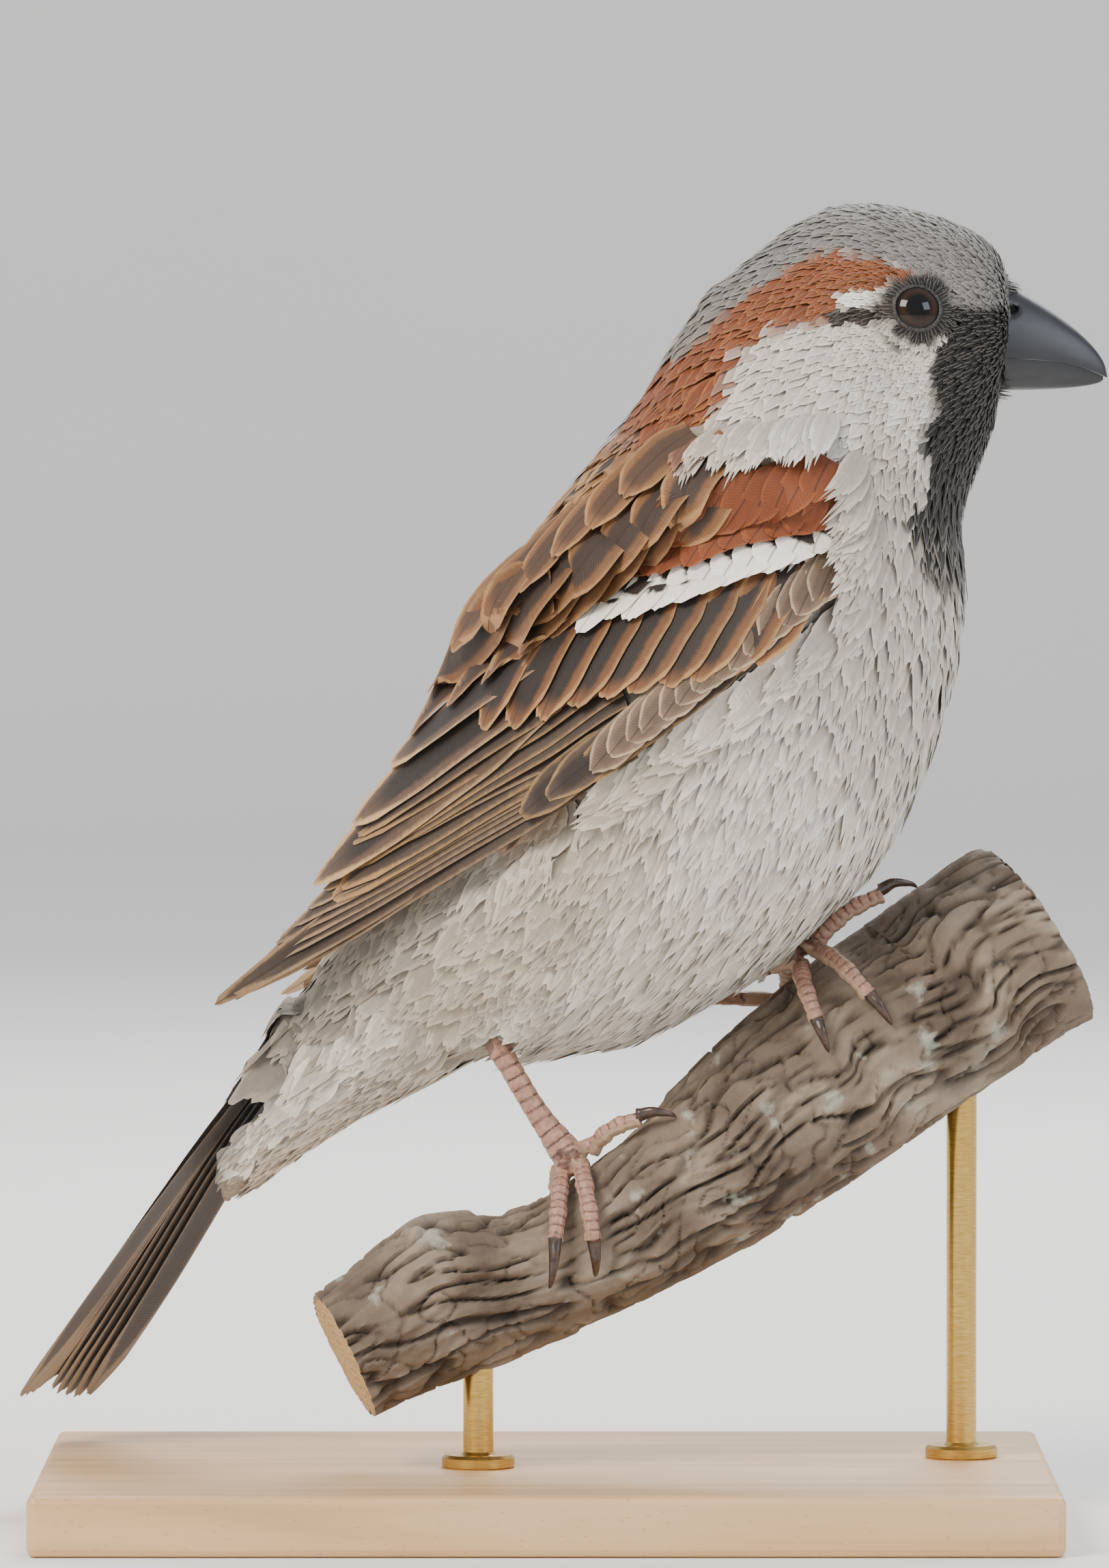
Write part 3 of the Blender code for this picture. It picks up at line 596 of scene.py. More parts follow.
def nearest(points):
    """The nearest place on the skin or the tail to each point, and the normal there."""
    found = [LIE_TREE.find_nearest(p) for p in points.tolist()]
    return np.array([f[0] for f in found]), LIE_NORMALS[[f[2] for f in found]]


# %% [markdown]
# ## The lie of the coat
#
# Stroke a bird and your hand goes from bill to tail. That is the lie of the coat, and it is the body
# line's own direction, with four corrections: round the bill the feathers start outwards like a collar,
# round the eye they part, on the thighs they run down the leg, and by the tail they turn to lie along it.
# Each feather is walked along the skin in short steps, and its direction is laid flat at every step, so it
# never stands up unless it is told to. Where the body ends a feather doesn't turn the corner with it. It
# lies on the tail or runs straight on, which makes the long coverts over the tail's root.

# %% Comb the coat
TAIL_LINE = centre_line(*solid("tail"), 6)[[1, -2]]
TAIL_WAY = unit((TAIL_LINE[1] - TAIL_LINE[0]) * np.sign(TAIL_LINE[0, 2] - TAIL_LINE[1, 2]))
BODY_END = 82  # how far back a feather may leave the skin
STEPS = 8  # the steps of a body feather's middle line


def comb(points, normals):
    """The way the feathers lie at points of the skin."""
    t, _, way = on_body(points)
    way = way + TAIL_WAY * (1.6 * ease(t, 76, 94))[:, None]
    bill = points - BILL_BASE
    pulls = [(unit(bill * [0, 1, 1]), 1.3, length_of(bill) / 7)]
    pulls += [(unit(points - eye), 0.9, length_of(points - eye) / 4.2) for eye in (EYE, EYE_LEFT)]
    pulls += [(unit(line[-1] - line[0]), 1.6, from_line(points, line) / 5) for line in THIGHS]
    for pull, strength, gap in pulls:
        way = way + pull * (strength * np.exp(-(gap**2)))[:, None]
    return unit(way - normals * dot(way, normals)[:, None])


def lay_down(roots, ways, lengths):
    """Each feather's middle line on the skin, from its root, turning with the lie of the coat."""
    place, normal = nearest(roots)
    line, normals = [place], [normal]
    for _ in range(STEPS):
        ways = unit(ways - normal * dot(ways, normal)[:, None])
        ahead = place + ways * (lengths / STEPS)[:, None]
        place, normal = nearest(ahead)
        past = (length_of(place - ahead) > 0.8) | (dot(normal, TAIL_WAY) > 0.5)
        past = (past & (on_body(place)[0] > BODY_END))[:, None]  # from here on it runs straight
        place = np.where(past, ahead, place)
        normal = np.where(past, normals[-1], unit(normal + 0.5 * normals[-1]))
        line.append(place)
        normals.append(normal)
        ways = np.where(past, TAIL_WAY, unit(0.75 * ways + 0.25 * comb(place, normal)))
    return np.stack(line, axis=1), np.stack(normals, axis=1)


print("the tail points", TAIL_WAY.round(2))

# %% [markdown]
# ## One feather, and then thousands
#
# A feather has a stiff shaft and two webs of fine barbs. At this size each one is a thin closed vane: a
# grid of points over the top and a keel under the middle, like an upturned canoe. It could be one flat
# plane, which is cheaper, but a plane has no thickness to print or to catch the light along its rim.
#
# All the vanes of a group are made in one go. Every array below has one row for each feather, so the
# same few lines of arithmetic bend, widen and fray all of them. The points stand in columns that run from
# the root forwards. The outer columns stop short of the tip to round it, and each one stops at its own
# random length, which frays the edge into bundles of barbs. The keel stops behind the deepest fray.
#
# A soft vane is also shaded as if it lay flat on the body: light then runs evenly over the whole coat, as it
# does over real down, and only the edges stay sharp. That is done on its top alone, because the underside
# would catch light from the wrong side.
#
# Each vane carries two maps. `vane` runs from 0 to 1 across and along it, and the finish draws shaft,
# barbs and edges there. `OFBake` puts the whole feather in a tiny patch at its root's place on an unwrap
# of the body, so that a picture of the coat's colours can be baked for programs that know no nodes.

# %% The shape of a vane
VANE = {
    "round": 0.5,  # how much shorter the outer columns are
    "point": 1.5,  # the power of that curve: a high one makes a square tip
    "waist": 0.45,  # the width at the root, as a share of the whole
    "belly": 0.45,  # how far along the whole width is reached
    "taper": 0.5,  # the width at the tip
    "keel": 0.07,  # the thickness at the root
    "camber": 0.02,  # how far the sides bend down
    "roll": 0.0,  # how far the feather leans to one side
    "soft": True,  # shaded as if it lay flat
    "calm": 1.5,  # how flat
}
PATCH = 0.003  # the side of a feather's patch on the map for baking
LABELS = ("tone", "trim", "mark", "size")  # what each feather tells its finish


def vane_points(line, normals, width, height, shape, along, across):
    """The points of every vane, and the body's normals under them."""
    count, steps = line.shape[0], line.shape[1] - 1
    place = np.clip(along * steps, 0, steps - 1e-6)
    start = place.astype(int)
    part = (place - start)[..., None]
    row = np.arange(count)[:, None, None]
    heading = unit(np.gradient(line, axis=1) + 0.15 * (line[:, -1:] - line[:, :1]) / steps)
    followed = (line, normals, heading)
    base, up, ahead = (v[row, start] * (1 - part) + v[row, start + 1] * part for v in followed)
    up = unit(up)
    side = unit(np.cross(up, unit(ahead)))
    grown = shape["waist"] + (1 - shape["waist"]) * ease(along, 0, shape["belly"])
    x = across * grown * (1 - (1 - shape["taper"]) * ease(along, 0.6, 1)) * (width / 2)[:, None, None]
    low, high = height.T[..., None, None]
    lift = low + (high - low) * (1 - (1 - along) ** 1.6)
    lift = lift - shape["camber"] * x * x + np.asarray(shape["roll"]).reshape(-1, 1, 1) * x
    lift[:, :, -1] -= shape["keel"] * (1 - 0.6 * along[:, :, -1])
    return base + side * x[..., None] + up * lift[..., None], up


def soften(mesh, corner, points, up, calm):
    """Turns the normals of the vanes' tops towards the body's. A zero keeps the real one."""
    count, rows, ring = points.shape[:3]
    grid, up = points[:, :, :-1], up[:, :, :-1]
    real = unit(np.cross(np.gradient(grid, axis=1), np.gradient(grid, axis=2)))
    flat = unit(up * calm + real) * (dot(real, up) > 0.3)[..., None]
    flat = np.concatenate([flat, 0 * flat[:, :, :1]], axis=2).reshape(-1, 3)
    on_top = np.repeat(np.tile(np.arange(ring) < ring - 2, count * (rows - 1)), 4)
    on_top = np.concatenate([on_top, np.zeros(len(corner) - len(on_top), bool)])
    mesh.normals_split_custom_set((flat[corner] * on_top[:, None]).tolist())


print("a vane is", VANE["keel"], "mm thick at its root")


# %% The feather maker


def unwrap(points):
    """A map of the body: round it one way, and from bill to tail the other."""
    t, a, _ = on_body(points)
    return np.stack([0.5 + a / (2 * math.pi), t / BODY_LENGTH], axis=1)


def fitted(places):
    """Places on a map, spread to fill it."""
    low, high = places.min(0), places.max(0)
    return 0.005 + 0.985 * (places - low) / np.maximum(high - low, 1e-6)


def vanes(name, line, normals, width, height, looks, columns, rows, fray, seed, **changes):
    """A mesh of feathers along their middle lines. The height is each one's lift at its root and its tip."""
    shape = VANE | changes
    random = np.random.default_rng(seed)
    count, ring = len(line), columns + 1
    u = np.linspace(-1, 1, columns)
    t = np.linspace(0, 1, rows)[:, None] ** 0.9
    fray = np.broadcast_to(np.asarray(fray).reshape(-1, 1, 1), (count, 1, 1))
    ends = 1 - shape["round"] * np.abs(u) ** shape["point"]
    ends = ends * (1 - fray * random.random((count, 1, columns)))
    keel_end = 0.97 - 1.25 * fray
    along = t * np.concatenate([ends, keel_end], axis=2)
    across = np.concatenate([u, [0.0]])
    points, up = vane_points(line, normals, width, height, shape, along, across)

    index = np.arange(rows * ring).reshape(rows, ring)
    keel_first = np.roll(index, 1, axis=1)
    fans = np.concatenate([lid_on(keel_first[0]), lid_on(keel_first[-1])[:, ::-1]])
    each = (np.arange(count) * rows * ring)[:, None, None]
    mesh = mesh_of(name, points.reshape(-1, 3), hoops(index, flip=True) + each, fans + each)

    corner = np.empty(len(mesh.loops), np.int32)
    mesh.loops.foreach_get("vertex_index", corner)
    if shape["soft"]:
        soften(mesh, corner, points, up, shape["calm"])
    own = np.broadcast_to(across / 2 + 0.5, along.shape)
    vane = np.stack([own, np.broadcast_to(t, along.shape)], axis=-1)
    patch = fitted(looks["place"])[:, None, None] * (1 - PATCH) + vane * PATCH
    for map_name, values in (("vane", vane), ("OFBake", patch)):
        layer = mesh.uv_layers.new(name=map_name)
        layer.uv.foreach_set("vector", values.reshape(-1, 2)[corner].astype(np.float32).ravel())
    for label in LABELS:
        paint(mesh, label, np.repeat(looks[label], rows * ring, axis=0))
    return mesh


print("on the unwrap of the body, the tail's root is at", unwrap(TAIL_LINE[:1])[0].round(2))


# %% [markdown]
# ## The markings of a cock sparrow
#
# A male in spring has an ash-grey crown, a chestnut band from the eye down the sides of the nape, black
# lores and bib, pale cheeks, a brown back with black streaks, a grey rump and pale underparts. The colours
# are worked out in code for any point of the body, as a painter lays one thin coat over another: each
# marking is a soft-edged mask, in millimetres from the eye on the head, and along and round the body line
# elsewhere. Skin and feathers ask the same function, so that what shows between two feathers agrees.

# %% Edges of the markings
CROWN_EDGE = [-20, -14, -8.8, -5.4, -2.3, 0, 1.5, 4.0, 10], [-2, 3.2, 6.0, 6.6, 5.6, 4.2, 1.9, 0.1, 0.1]
CHEEK_EDGE = [-24, -20, -16, -14, -10.5, -6, -2], [-14, -10, -6.4, -3.8, -0.9, 1.0, 2.7]
FACE_EDGE = [-23, -18.6, -15, -11, -9, -4.2, -1], [6, 2.5, 2.8, 1.8, 3.3, 3.0, 3.6]
BIB_HALF = [0, 4, 8, 12, 18, 23], [3.5, 5.5, 7.0, 8.5, 10.0, 5.5]
NAPE_HALF = [6, 12, 16, 20, 26], [80, 62, 34, 18, 10]
STREAK = 4.8  # from one dark streak of the back to the next
PLAIN = ("cbc4b8", "d8d2c8")  # main and edge colour where no marking lies
COATS = {  # in the order they are laid: main colour, edge colour, dark centre
    "flank": ("a99d8c", "b9ae9f", 0.0),
    "breast": ("b4aca0", "c6bfb3", 0.0),
    "vent": ("c3bbae", "dfd9cf", 0.35),
    "mantle": ("8c6039", "a57c52", 0.0),
    "rump": ("80766a", "94897b", 0.0),
    "hind_neck": ("7a4324", "8f5a35", 0.0),
    "nape": ("736c66", "807870", 0.0),
    "collar": ("b0a89c", "beb6aa", 0.0),
    "chestnut": ("74391a", "875029", 0.0),
    "crown": ("74716e", "827e79", 0.08),
    "cheek": ("bdb7ad", "cbc6bc", 0.0),
    "bib": ("110f0e", "221e1b", 0.0),
    "lores": ("110e0c", "191614", 0.0),
    "eye_line": ("1b1512", "2a1e17", 0.0),
    "spot": ("e4e0d8", "efece6", 0.0),
}


def shade(*hexes):
    """Hex colours as linear red, green and blue."""
    return [np.array(linear(h)[:3]) for h in hexes]


def near_stroke(ahead, above, start, end):
    """The distance from a straight stroke drawn on the side of the head."""
    run = np.array(end) - start
    here = np.stack([ahead - start[0], above - start[1]], axis=1)
    gone = np.clip(here @ run / (run @ run), 0, 1)
    return length_of(here - gone[:, None] * run)


def masks_of(points):
    """Where each marking lies, from 0 to 1, and the dark streaks of the back and the bib's lower end."""
    t, a, _ = on_body(points)
    around = from_back(a)
    girth = from_line(points, BODY_LINE)
    ahead, above = points[:, 0] - EYE[0], points[:, 2] - EYE[2]
    loose, fine = mottle(points, 2.4, 1), mottle(points, 1.1, 2)
    crown_edge, cheek_edge = np.interp(ahead, *CROWN_EDGE), np.interp(ahead, *CHEEK_EDGE)
    over_cheek = ease(above - cheek_edge + fine * 0.5, -0.5, 0.5)
    m = {}
    m["flank"] = ease(around, 62, 80) * ease(around, 128, 104) * ease(t, 26, 36) * ease(t, 92, 84)
    m["breast"] = ease(t, 17, 23) * ease(t, 46, 34) * ease(around, 90, 110)
    m["vent"] = ease(t, 84, 92) * ease(around, 96, 116)
    back, to_rump = ease(around + loose * 6, 84, 66), ease(t + loose * 2, 58, 66)
    m["mantle"] = back * ease(t, 21, 26) * (1 - to_rump)
    m["rump"] = back * to_rump
    hind_neck = np.maximum(over_cheek * ease(t, 6, 9), ease(t, 14, 17))
    m["hind_neck"] = hind_neck * ease(around, 100, 84) * ease(t, 27, 22)
    half = np.interp(t, *NAPE_HALF)
    m["nape"] = ease(around + loose * 4, half + 5, half - 5) * ease(t, 9, 12) * ease(t, 26, 22)
    collar = ease(cheek_edge - above + fine * 0.4, -0.4, 0.6)
    m["collar"] = collar * ease(t, 10, 13) * ease(t + loose, 26, 21)
    behind = -ahead + 0.8 * np.clip(above - 1.0, 0, 4)
    chestnut = ease(crown_edge - above + fine * 0.4, -0.5, 0.6) * over_cheek
    m["chestnut"] = chestnut * ease(behind, 0.2, 2.2) * ease(t + loose, 26, 22)
    m["crown"] = ease(above - crown_edge + fine * 0.5, -0.5, 0.6) * ease(t, 17, 12)
    m["cheek"] = ease(np.hypot((ahead + 8.0) / 8.0, (above + 5.8) / 6.2) + fine * 0.06, 1.08, 0.88)
    from_throat = np.radians(180 - around) * girth
    bib = ease(np.interp(t, *BIB_HALF) - from_throat + loose * 0.9, -0.7, 0.7)
    face = ease(ahead - np.interp(above, *FACE_EDGE) + fine * 0.35, -0.4, 0.5)
    face = face * ease(fine * 0.3 - above, 0.4, 1.4) * ease(above, -21, -16)
    m["bib"] = np.maximum(bib * ease(t + loose * 1.2, 23.0, 20.0), face)
    lores = near_stroke(ahead, above, (1.5, -0.4), (8.5, -0.9)) - 0.9
    m["lores"] = ease(np.minimum(lores, from_eye(points) - EYE_BALL - 0.1) + fine * 0.3, 0.8, 0.1)
    m["eye_line"] = ease(near_stroke(ahead, above, (-2.0, 0.1), (-6.2, 0.2)) + fine * 0.2, 1.1, 0.5)
    m["spot"] = ease(np.hypot((ahead + 4.6) / 1.5, (above - 1.7) / 0.75) + fine * 0.1, 1.15, 0.8)
    streaks = ease(np.sin(a * girth * 2 * math.pi / STREAK + loose * 1.5), -0.25, 0.45)
    streaks = streaks * m["mantle"] * (1 - m["chestnut"]) * (1 - m["bib"])
    return m, streaks, m["bib"] * ease(t, 13, 20)


for name, mask in masks_of(form[::40])[0].items():
    print(f"{name}: {mask.clip(0, 1).mean():.1%} of the skin")


# %% Paint the markings


def markings(points):
    """For points of the body: the feather's main colour, its edge colour, and its dark centre from 0 to 1."""
    masks, streaks, bib_end = masks_of(points)
    tone, trim = (np.tile(colour, (len(points), 1)) for colour in shade(*PLAIN))
    dark = np.zeros(len(points))
    for name, (tone_hex, trim_hex, centre) in COATS.items():
        mask = np.clip(masks[name], 0, 1)[:, None]
        main, edge = shade(tone_hex, trim_hex)
        tone, trim = tone + (main - tone) * mask, trim + (edge - trim) * mask
        dark = dark + (centre - dark) * mask[:, 0]
    grey_tip = shade("8b8378")[0]
    trim = trim + (grey_tip - trim) * (bib_end * 0.75)[:, None]
    return tone, trim, np.maximum(dark, streaks)


def looks_of(points, lengths, widths, seed=0):
    """What every feather carries to its finish: colours, dark centre, a number of its own, and its size."""
    random = np.random.default_rng(seed)
    tone, trim, dark = markings(points)
    own = random.random(len(points))
    swing = 0.26 - 0.2 * tone.mean(1)  # dark feathers differ more from each other than pale ones do
    vary = (1 + swing * (own - 0.5))[:, None]
    mark = np.stack([dark, np.zeros(len(points)), own], axis=1)
    size = np.stack([widths, lengths, np.zeros(len(points))], axis=1)
    return {"tone": tone * vary, "trim": trim * vary, "mark": mark, "size": size, "place": unwrap(points)}


skin_tone, _, _ = markings(skin_points)
print(f"{len(COATS)} markings painted on the skin, mean brightness {skin_tone.mean():.2f}")

# %% [markdown]
# ## Feather finish
#
# Feathers are keratin, like nails and horn, which bends light by about 1.54 and is dull because every barb
# is a tiny rough rod. One finish serves the whole bird. It reads the colours that each vane carries, and
# draws on the vane's own map: the edge colour round the rim and the tip, a dark stripe where the feather
# has one, the pale shaft, and slanting barbs. Real barbs stand 0.1 mm apart or less, too fine for any
# picture of the whole bird, so these are 0.25 mm apart on the body and 0.32 mm on the wing. The barbs also
# lift the surface a little as bump.

# %% Feather material


def feather_finish(name, dark, pale, barbs=0.25, shaft=0.03, ragged=0.3, rim_from=0.8, tip_from=0.62):
    """A finish for vanes, from the colours of the stripe and the shaft and the sizes of its marks."""
    finish, tree, shader = new_material(
        name, Roughness=0.62, IOR=1.54, Specular_IOR_Level=0.3, Sheen_Weight=0.06, Sheen_Roughness=0.5
    )
    tone, trim, mark, size = (put(tree, "Attribute", attribute_name=label) for label in LABELS)
    vane = put(tree, "SeparateXYZ", [put(tree, "UVMap", uv_map="vane")])
    across, along = vane.outputs[:2]
    centre, tipped = put(tree, "SeparateColor", [mark]).outputs[:2]
    width, length = put(tree, "SeparateColor", [size]).outputs[:2]
    signed = put(tree, "Math", (across, 2.0, -1.0), **TIMES_PLUS)
    off = put(tree, "Math", [signed], operation="ABSOLUTE")
    spot = put(tree, "TexCoord").outputs["Object"]
    cloud = put(tree, "TexNoise", {"Vector": spot, "Scale": 1400.0, "Detail": 3.0})

    # the rim and the tip in the edge colour
    tipward = put(tree, "MapRange", (along, tip_from, 1.0))
    rim = put(tree, "VectorMath", [put(tree, "CombineXYZ", (off, tipward))], operation="LENGTH")
    rim = put(tree, "Math", (cloud, ragged, rim), **TIMES_PLUS)
    rim = put(tree, "MapRange", (rim, rim_from, rim_from + 0.28), **SMOOTH)
    colour = put(tree, "Mix", {0: rim, 6: tone, 7: trim}, **COLOURS)

    # the dark stripe, which stops before the tip
    stripe = put(tree, "Math", (cloud, ragged, off), **TIMES_PLUS)
    stripe = put(tree, "MapRange", (stripe, 0.52, 0.78, 1.0, 0.0), **SMOOTH)
    short = put(tree, "MapRange", (along, 0.8, 0.97, 1.0, 0.0), **SMOOTH)
    stripe = put(tree, "Math", (put(tree, "Math", (stripe, short), **TIMES), centre), **TIMES)
    colour = put(tree, "Mix", {0: stripe, 6: colour, 7: linear(dark)}, **COLOURS)

    # the broad pale tips of the wing bar
    tip = put(tree, "Math", (tipped, 0.45, along), **TIMES_PLUS)
    tip = put(tree, "Math", (cloud, 0.12, tip), **TIMES_PLUS)
    tip = put(tree, "MapRange", (tip, 1.1, 1.16))
    colour = put(tree, "Mix", {0: tip, 6: colour, 7: trim}, **COLOURS)

    # the shaft
    out_mm = put(tree, "Math", (off, width), **TIMES)
    line = put(tree, "MapRange", (out_mm, shaft, shaft * 3, 0.55, 0.0), **SMOOTH)
    colour = put(tree, "Mix", {0: line, 6: colour, 7: linear(pale)}, **COLOURS)

    # the barbs, and the root darker than the tip: partly painted shade where the next feather covers the
    # root, partly the grey down that real feathers have there
    run = put(tree, "Math", (out_mm, -0.55, put(tree, "Math", (along, length), **TIMES)), **TIMES_PLUS)
    wave = put(tree, "Math", [put(tree, "Math", (run, 2 * math.pi / barbs), **TIMES)], operation="SINE")
    light = put(tree, "MapRange", (along, 0.3, 0.95, 0.66, 0.94))
    light = put(tree, "Math", (wave, 0.1, light), **TIMES_PLUS)
    light = put(tree, "Math", (cloud, 0.25, light), **TIMES_PLUS)
    colour = put(tree, "Mix", {0: 1.0, 6: colour, 7: light}, blend_type="MULTIPLY", **COLOURS)
    relief = put(tree, "Math", (line, 2.0, wave), **TIMES_PLUS)
    finish_with(tree, shader, colour, relief, 0.5, 0.02)
    return finish


STIFF = {"barbs": 0.32, "shaft": 0.1, "ragged": 0.14, "rim_from": 0.84, "tip_from": 0.8}
coat_finish = feather_finish("body feather keratin", "211813", "8a8076")
wing_finish = feather_finish("flight feather keratin", "2a211b", "1c1612", **STIFF)
print("finishes made for the feathers of the body and of the wing")

# %% [markdown]
# ## The folded wing
#
# A folded wing is a hand of cards: the long primaries lie lowest, the secondaries over them, the three broad
# tertials on top, and the coverts hide all their roots. Each row is drawn here as it is seen from the side,
# as the root and the tip of its first and its last feather, and the feathers between are spaced evenly. The
# drawn lines are then dropped onto the wing's solid, smoothed, and mirrored for the other wing. A row drawn
# this way can be moved by changing four places, where modelling feather by feather would take forty.
#
# A body's side feathers close over the front and the lower edge of a folded wing, which stops it looking
# stuck on. They are four more rows of the same kind, in soft vanes with the body's own colours. The other
# rows have inks of their own, for the warm edges, the dark centres and the white tips of the wing bar.

# %% The plane between the wings
def balance_point(names):
    """The middle of a surface, with every patch counted by its area."""
    points, triangles = joined(names)
    a, b, c = (points[triangles[:, i]] for i in range(3))
    area = length_of(np.cross(b - a, c - a))
    return ((a + b + c) / 3 * area[:, None]).sum(0) / area.sum()


left_middle, right_middle = (balance_point([n for n in WINGS if side in n]) for side in ("left", "right"))
LEFTWARD = unit((left_middle - right_middle) * [1, 1, 0])
MIDDLE = (left_middle + right_middle) / 2
turned = math.degrees(math.atan2(LEFTWARD[0], LEFTWARD[1]))
print(f"the wings mirror about a plane turned {turned:.1f} degrees")


def mirrored(vectors, about):
    """The same things on the bird's other side."""
    return vectors - 2 * dot(vectors - about, LEFTWARD)[..., None] * LEFTWARD


# %% Drop the drawn lines on the wing
wing_points, wing_triangles = joined([n for n in WINGS if "right" in n])
RIGHT_WING = surface_tree(wing_points, wing_triangles)
NEAR_TREE = surface_tree(np.concatenate([wing_points, form]), wing_triangles, skin_quads + len(wing_points))
NEAR_SIDE = -120  # from here the rays start
WING_Y = -16.0  # about where the wing lies, for a line that starts beside it
LINE_STEPS = 10


def dropped(roots, tips, sag, tree):
    """Lines drawn from the side in x and z, laid on the near side of the solid, and its normals there."""
    t = np.linspace(0, 1, LINE_STEPS + 1)
    lines, ups = [], []
    for root, tip in zip(roots, tips):
        drawn = root + (tip - root) * t[:, None]
        sideways = unit(np.array([tip[1] - root[1], root[0] - tip[0]]))
        line, normals = [], []
        for x, z in drawn + (4 * t * (1 - t) * sag)[:, None] * sideways:
            hit = tree.ray_cast(Vector((x, NEAR_SIDE, z)), Vector((0, 1, 0)))
            if hit[0] is None:
                hit = tree.find_nearest((x, line[-1][1] if line else WING_Y, z))
                hit = (Vector((x, hit[0][1], z)), hit[1])
            line.append(hit[0])
            normals.append(hit[1] if hit[1][1] < 0 else -hit[1])
        line, normals = np.array(line), np.array(normals)
        line[:, 1] = np.polyval(np.polyfit(t, line[:, 1], 3), t)
        lines.append(line)
        ups.append(unit(np.stack([np.polyval(np.polyfit(t, normals[:, i], 2), t) for i in range(3)], axis=1)))
    return np.array(lines), np.array(ups)


print("the right wing is", np.ptp(wing_points, axis=0).round(1), "mm in x, y and z")


# %% The rows of the wing
# how many; root of the first and of the last; tip of the first and of the last;
# widths; lifts of the roots; lifts of the tips; sag
ROWS = {
    "primaries": (9, (8, 77.6), (7, 81.5), (-33.2, 50.4), (-21.5, 64.5),
                  (4.4, 5.4), (-1.2, -0.9), (-0.8, -0.5), 0.9),
    "secondaries": (6, (8, 80.8), (6, 86.5), (-21.5, 62.2), (-18.8, 68.5),
                    (5.0, 6.0), (-0.75, -0.65), (-0.4, -0.2), 0.8),
    "tertials": (3, (1, 83.0), (3, 89.5), (-23.0, 63.8), (-15.2, 75.2),
                 (7.6, 7.4), (-0.5, -0.35), (-0.1, 0.25), 0.6),
    "primary_coverts": (6, (19, 86.4), (8, 79.4), (9.5, 78.6), (-3.0, 70.3),
                        (3.2, 4.2), (-0.7, -0.6), (-0.25, -0.1), 0.3),
    "edge_coverts": (14, (29.2, 97.4), (10.6, 81.6), (26.2, 91.4), (4.4, 75.4),
                     (3.6, 4.0), (-0.5, -0.4), (0.1, 0.2), 0.3),
    "greater_coverts": (10, (26.6, 96.6), (0.5, 91.6), (20.4, 85.6), (-6.4, 78.6),
                        (5.4, 6.6), (-0.6, -0.4), (0.05, 0.3), 0.5),
    "median_coverts": (11, (28.8, 101.4), (9.2, 95.8), (25.6, 96.2), (3.4, 88.2),
                       (4.4, 5.2), (-0.5, -0.4), (0.45, 0.6), 0.3),
    "lesser_coverts_2": (10, (28.4, 103.2), (13.0, 100.6), (25.6, 98.6), (7.6, 92.8),
                         (3.6, 4.6), (-0.4, -0.2), (0.75, 0.9), 0.2),
    "lesser_coverts_1": (9, (27.6, 105.6), (15.5, 103.6), (25.2, 101.0), (10.6, 96.6),
                         (3.6, 4.4), (-0.3, 0.0), (0.95, 1.15), 0.2),
    "scapulars_1": (8, (18.8, 105.5), (-3.0, 90.6), (13.0, 97.2), (-13.2, 77.6),
                    (5.4, 7.2), (-0.3, -0.6), (1.2, 0.5), 0.4),
    "scapulars_2": (8, (17.8, 107.5), (-2.5, 93.6), (12.2, 99.4), (-11.6, 81.6),
                    (5.4, 7.0), (-0.2, -0.5), (1.4, 0.75), 0.4),
    "scapulars_3": (6, (14.0, 108.3), (-0.5, 98.0), (8.2, 101.0), (-8.8, 86.4),
                    (5.4, 6.6), (-0.2, -0.4), (1.5, 1.0), 0.4),
    "side_feathers_1": (12, (31.6, 102.6), (31.0, 92.0), (28.0, 96.2), (27.0, 85.6),
                        (2.9, 3.4), (-0.9, -0.9), (1.0, 0.5), -0.4),
    "side_feathers_2": (12, (31.2, 106.6), (31.8, 96.0), (26.9, 100.4), (28.4, 89.4),
                        (2.8, 3.3), (-0.9, -0.9), (1.3, 0.8), -0.4),
    "side_feathers_4": (17, (28.0, 110.8), (14.5, 108.6), (25.4, 104.0), (11.6, 102.4),
                        (2.7, 3.1), (-1.0, -1.0), (1.5, 1.5), 0.2),
    "side_feathers_3": (18, (29.4, 91.0), (8.6, 74.6), (24.2, 84.6), (1.6, 69.8),
                        (3.8, 4.4), (-0.9, -0.9), (0.4, 0.3), -0.4),
}
CHESTNUT, BROWN = ("743a1b", "814725", 0.0, 0), ("744d2d", "9c744a", 0.9, 0)
INK = {  # main colour, edge colour, how much dark centre, how long the tip in the edge colour
    "primaries": ("4a3c31", "94785a", 0.9, 0),
    "secondaries": ("4a3c31", "a17c50", 0.9, 0),
    "tertials": ("5a4333", "b89468", 1.0, 0),
    "primary_coverts": ("4a3c31", "8c6d48", 0.9, 0),
    "edge_coverts": ("6f5a48", "a08b70", 0.4, 0),
    "greater_coverts": ("6f4729", "a07a4e", 1.0, 0),
    "median_coverts": ("2b211b", "e6e0d4", 0.6, 1),
    "lesser_coverts_2": CHESTNUT,
    "lesser_coverts_1": CHESTNUT,
    "scapulars_1": BROWN,
    "scapulars_2": BROWN,
    "scapulars_3": ("7a5332", "9c744a", 0.7, 0),
}


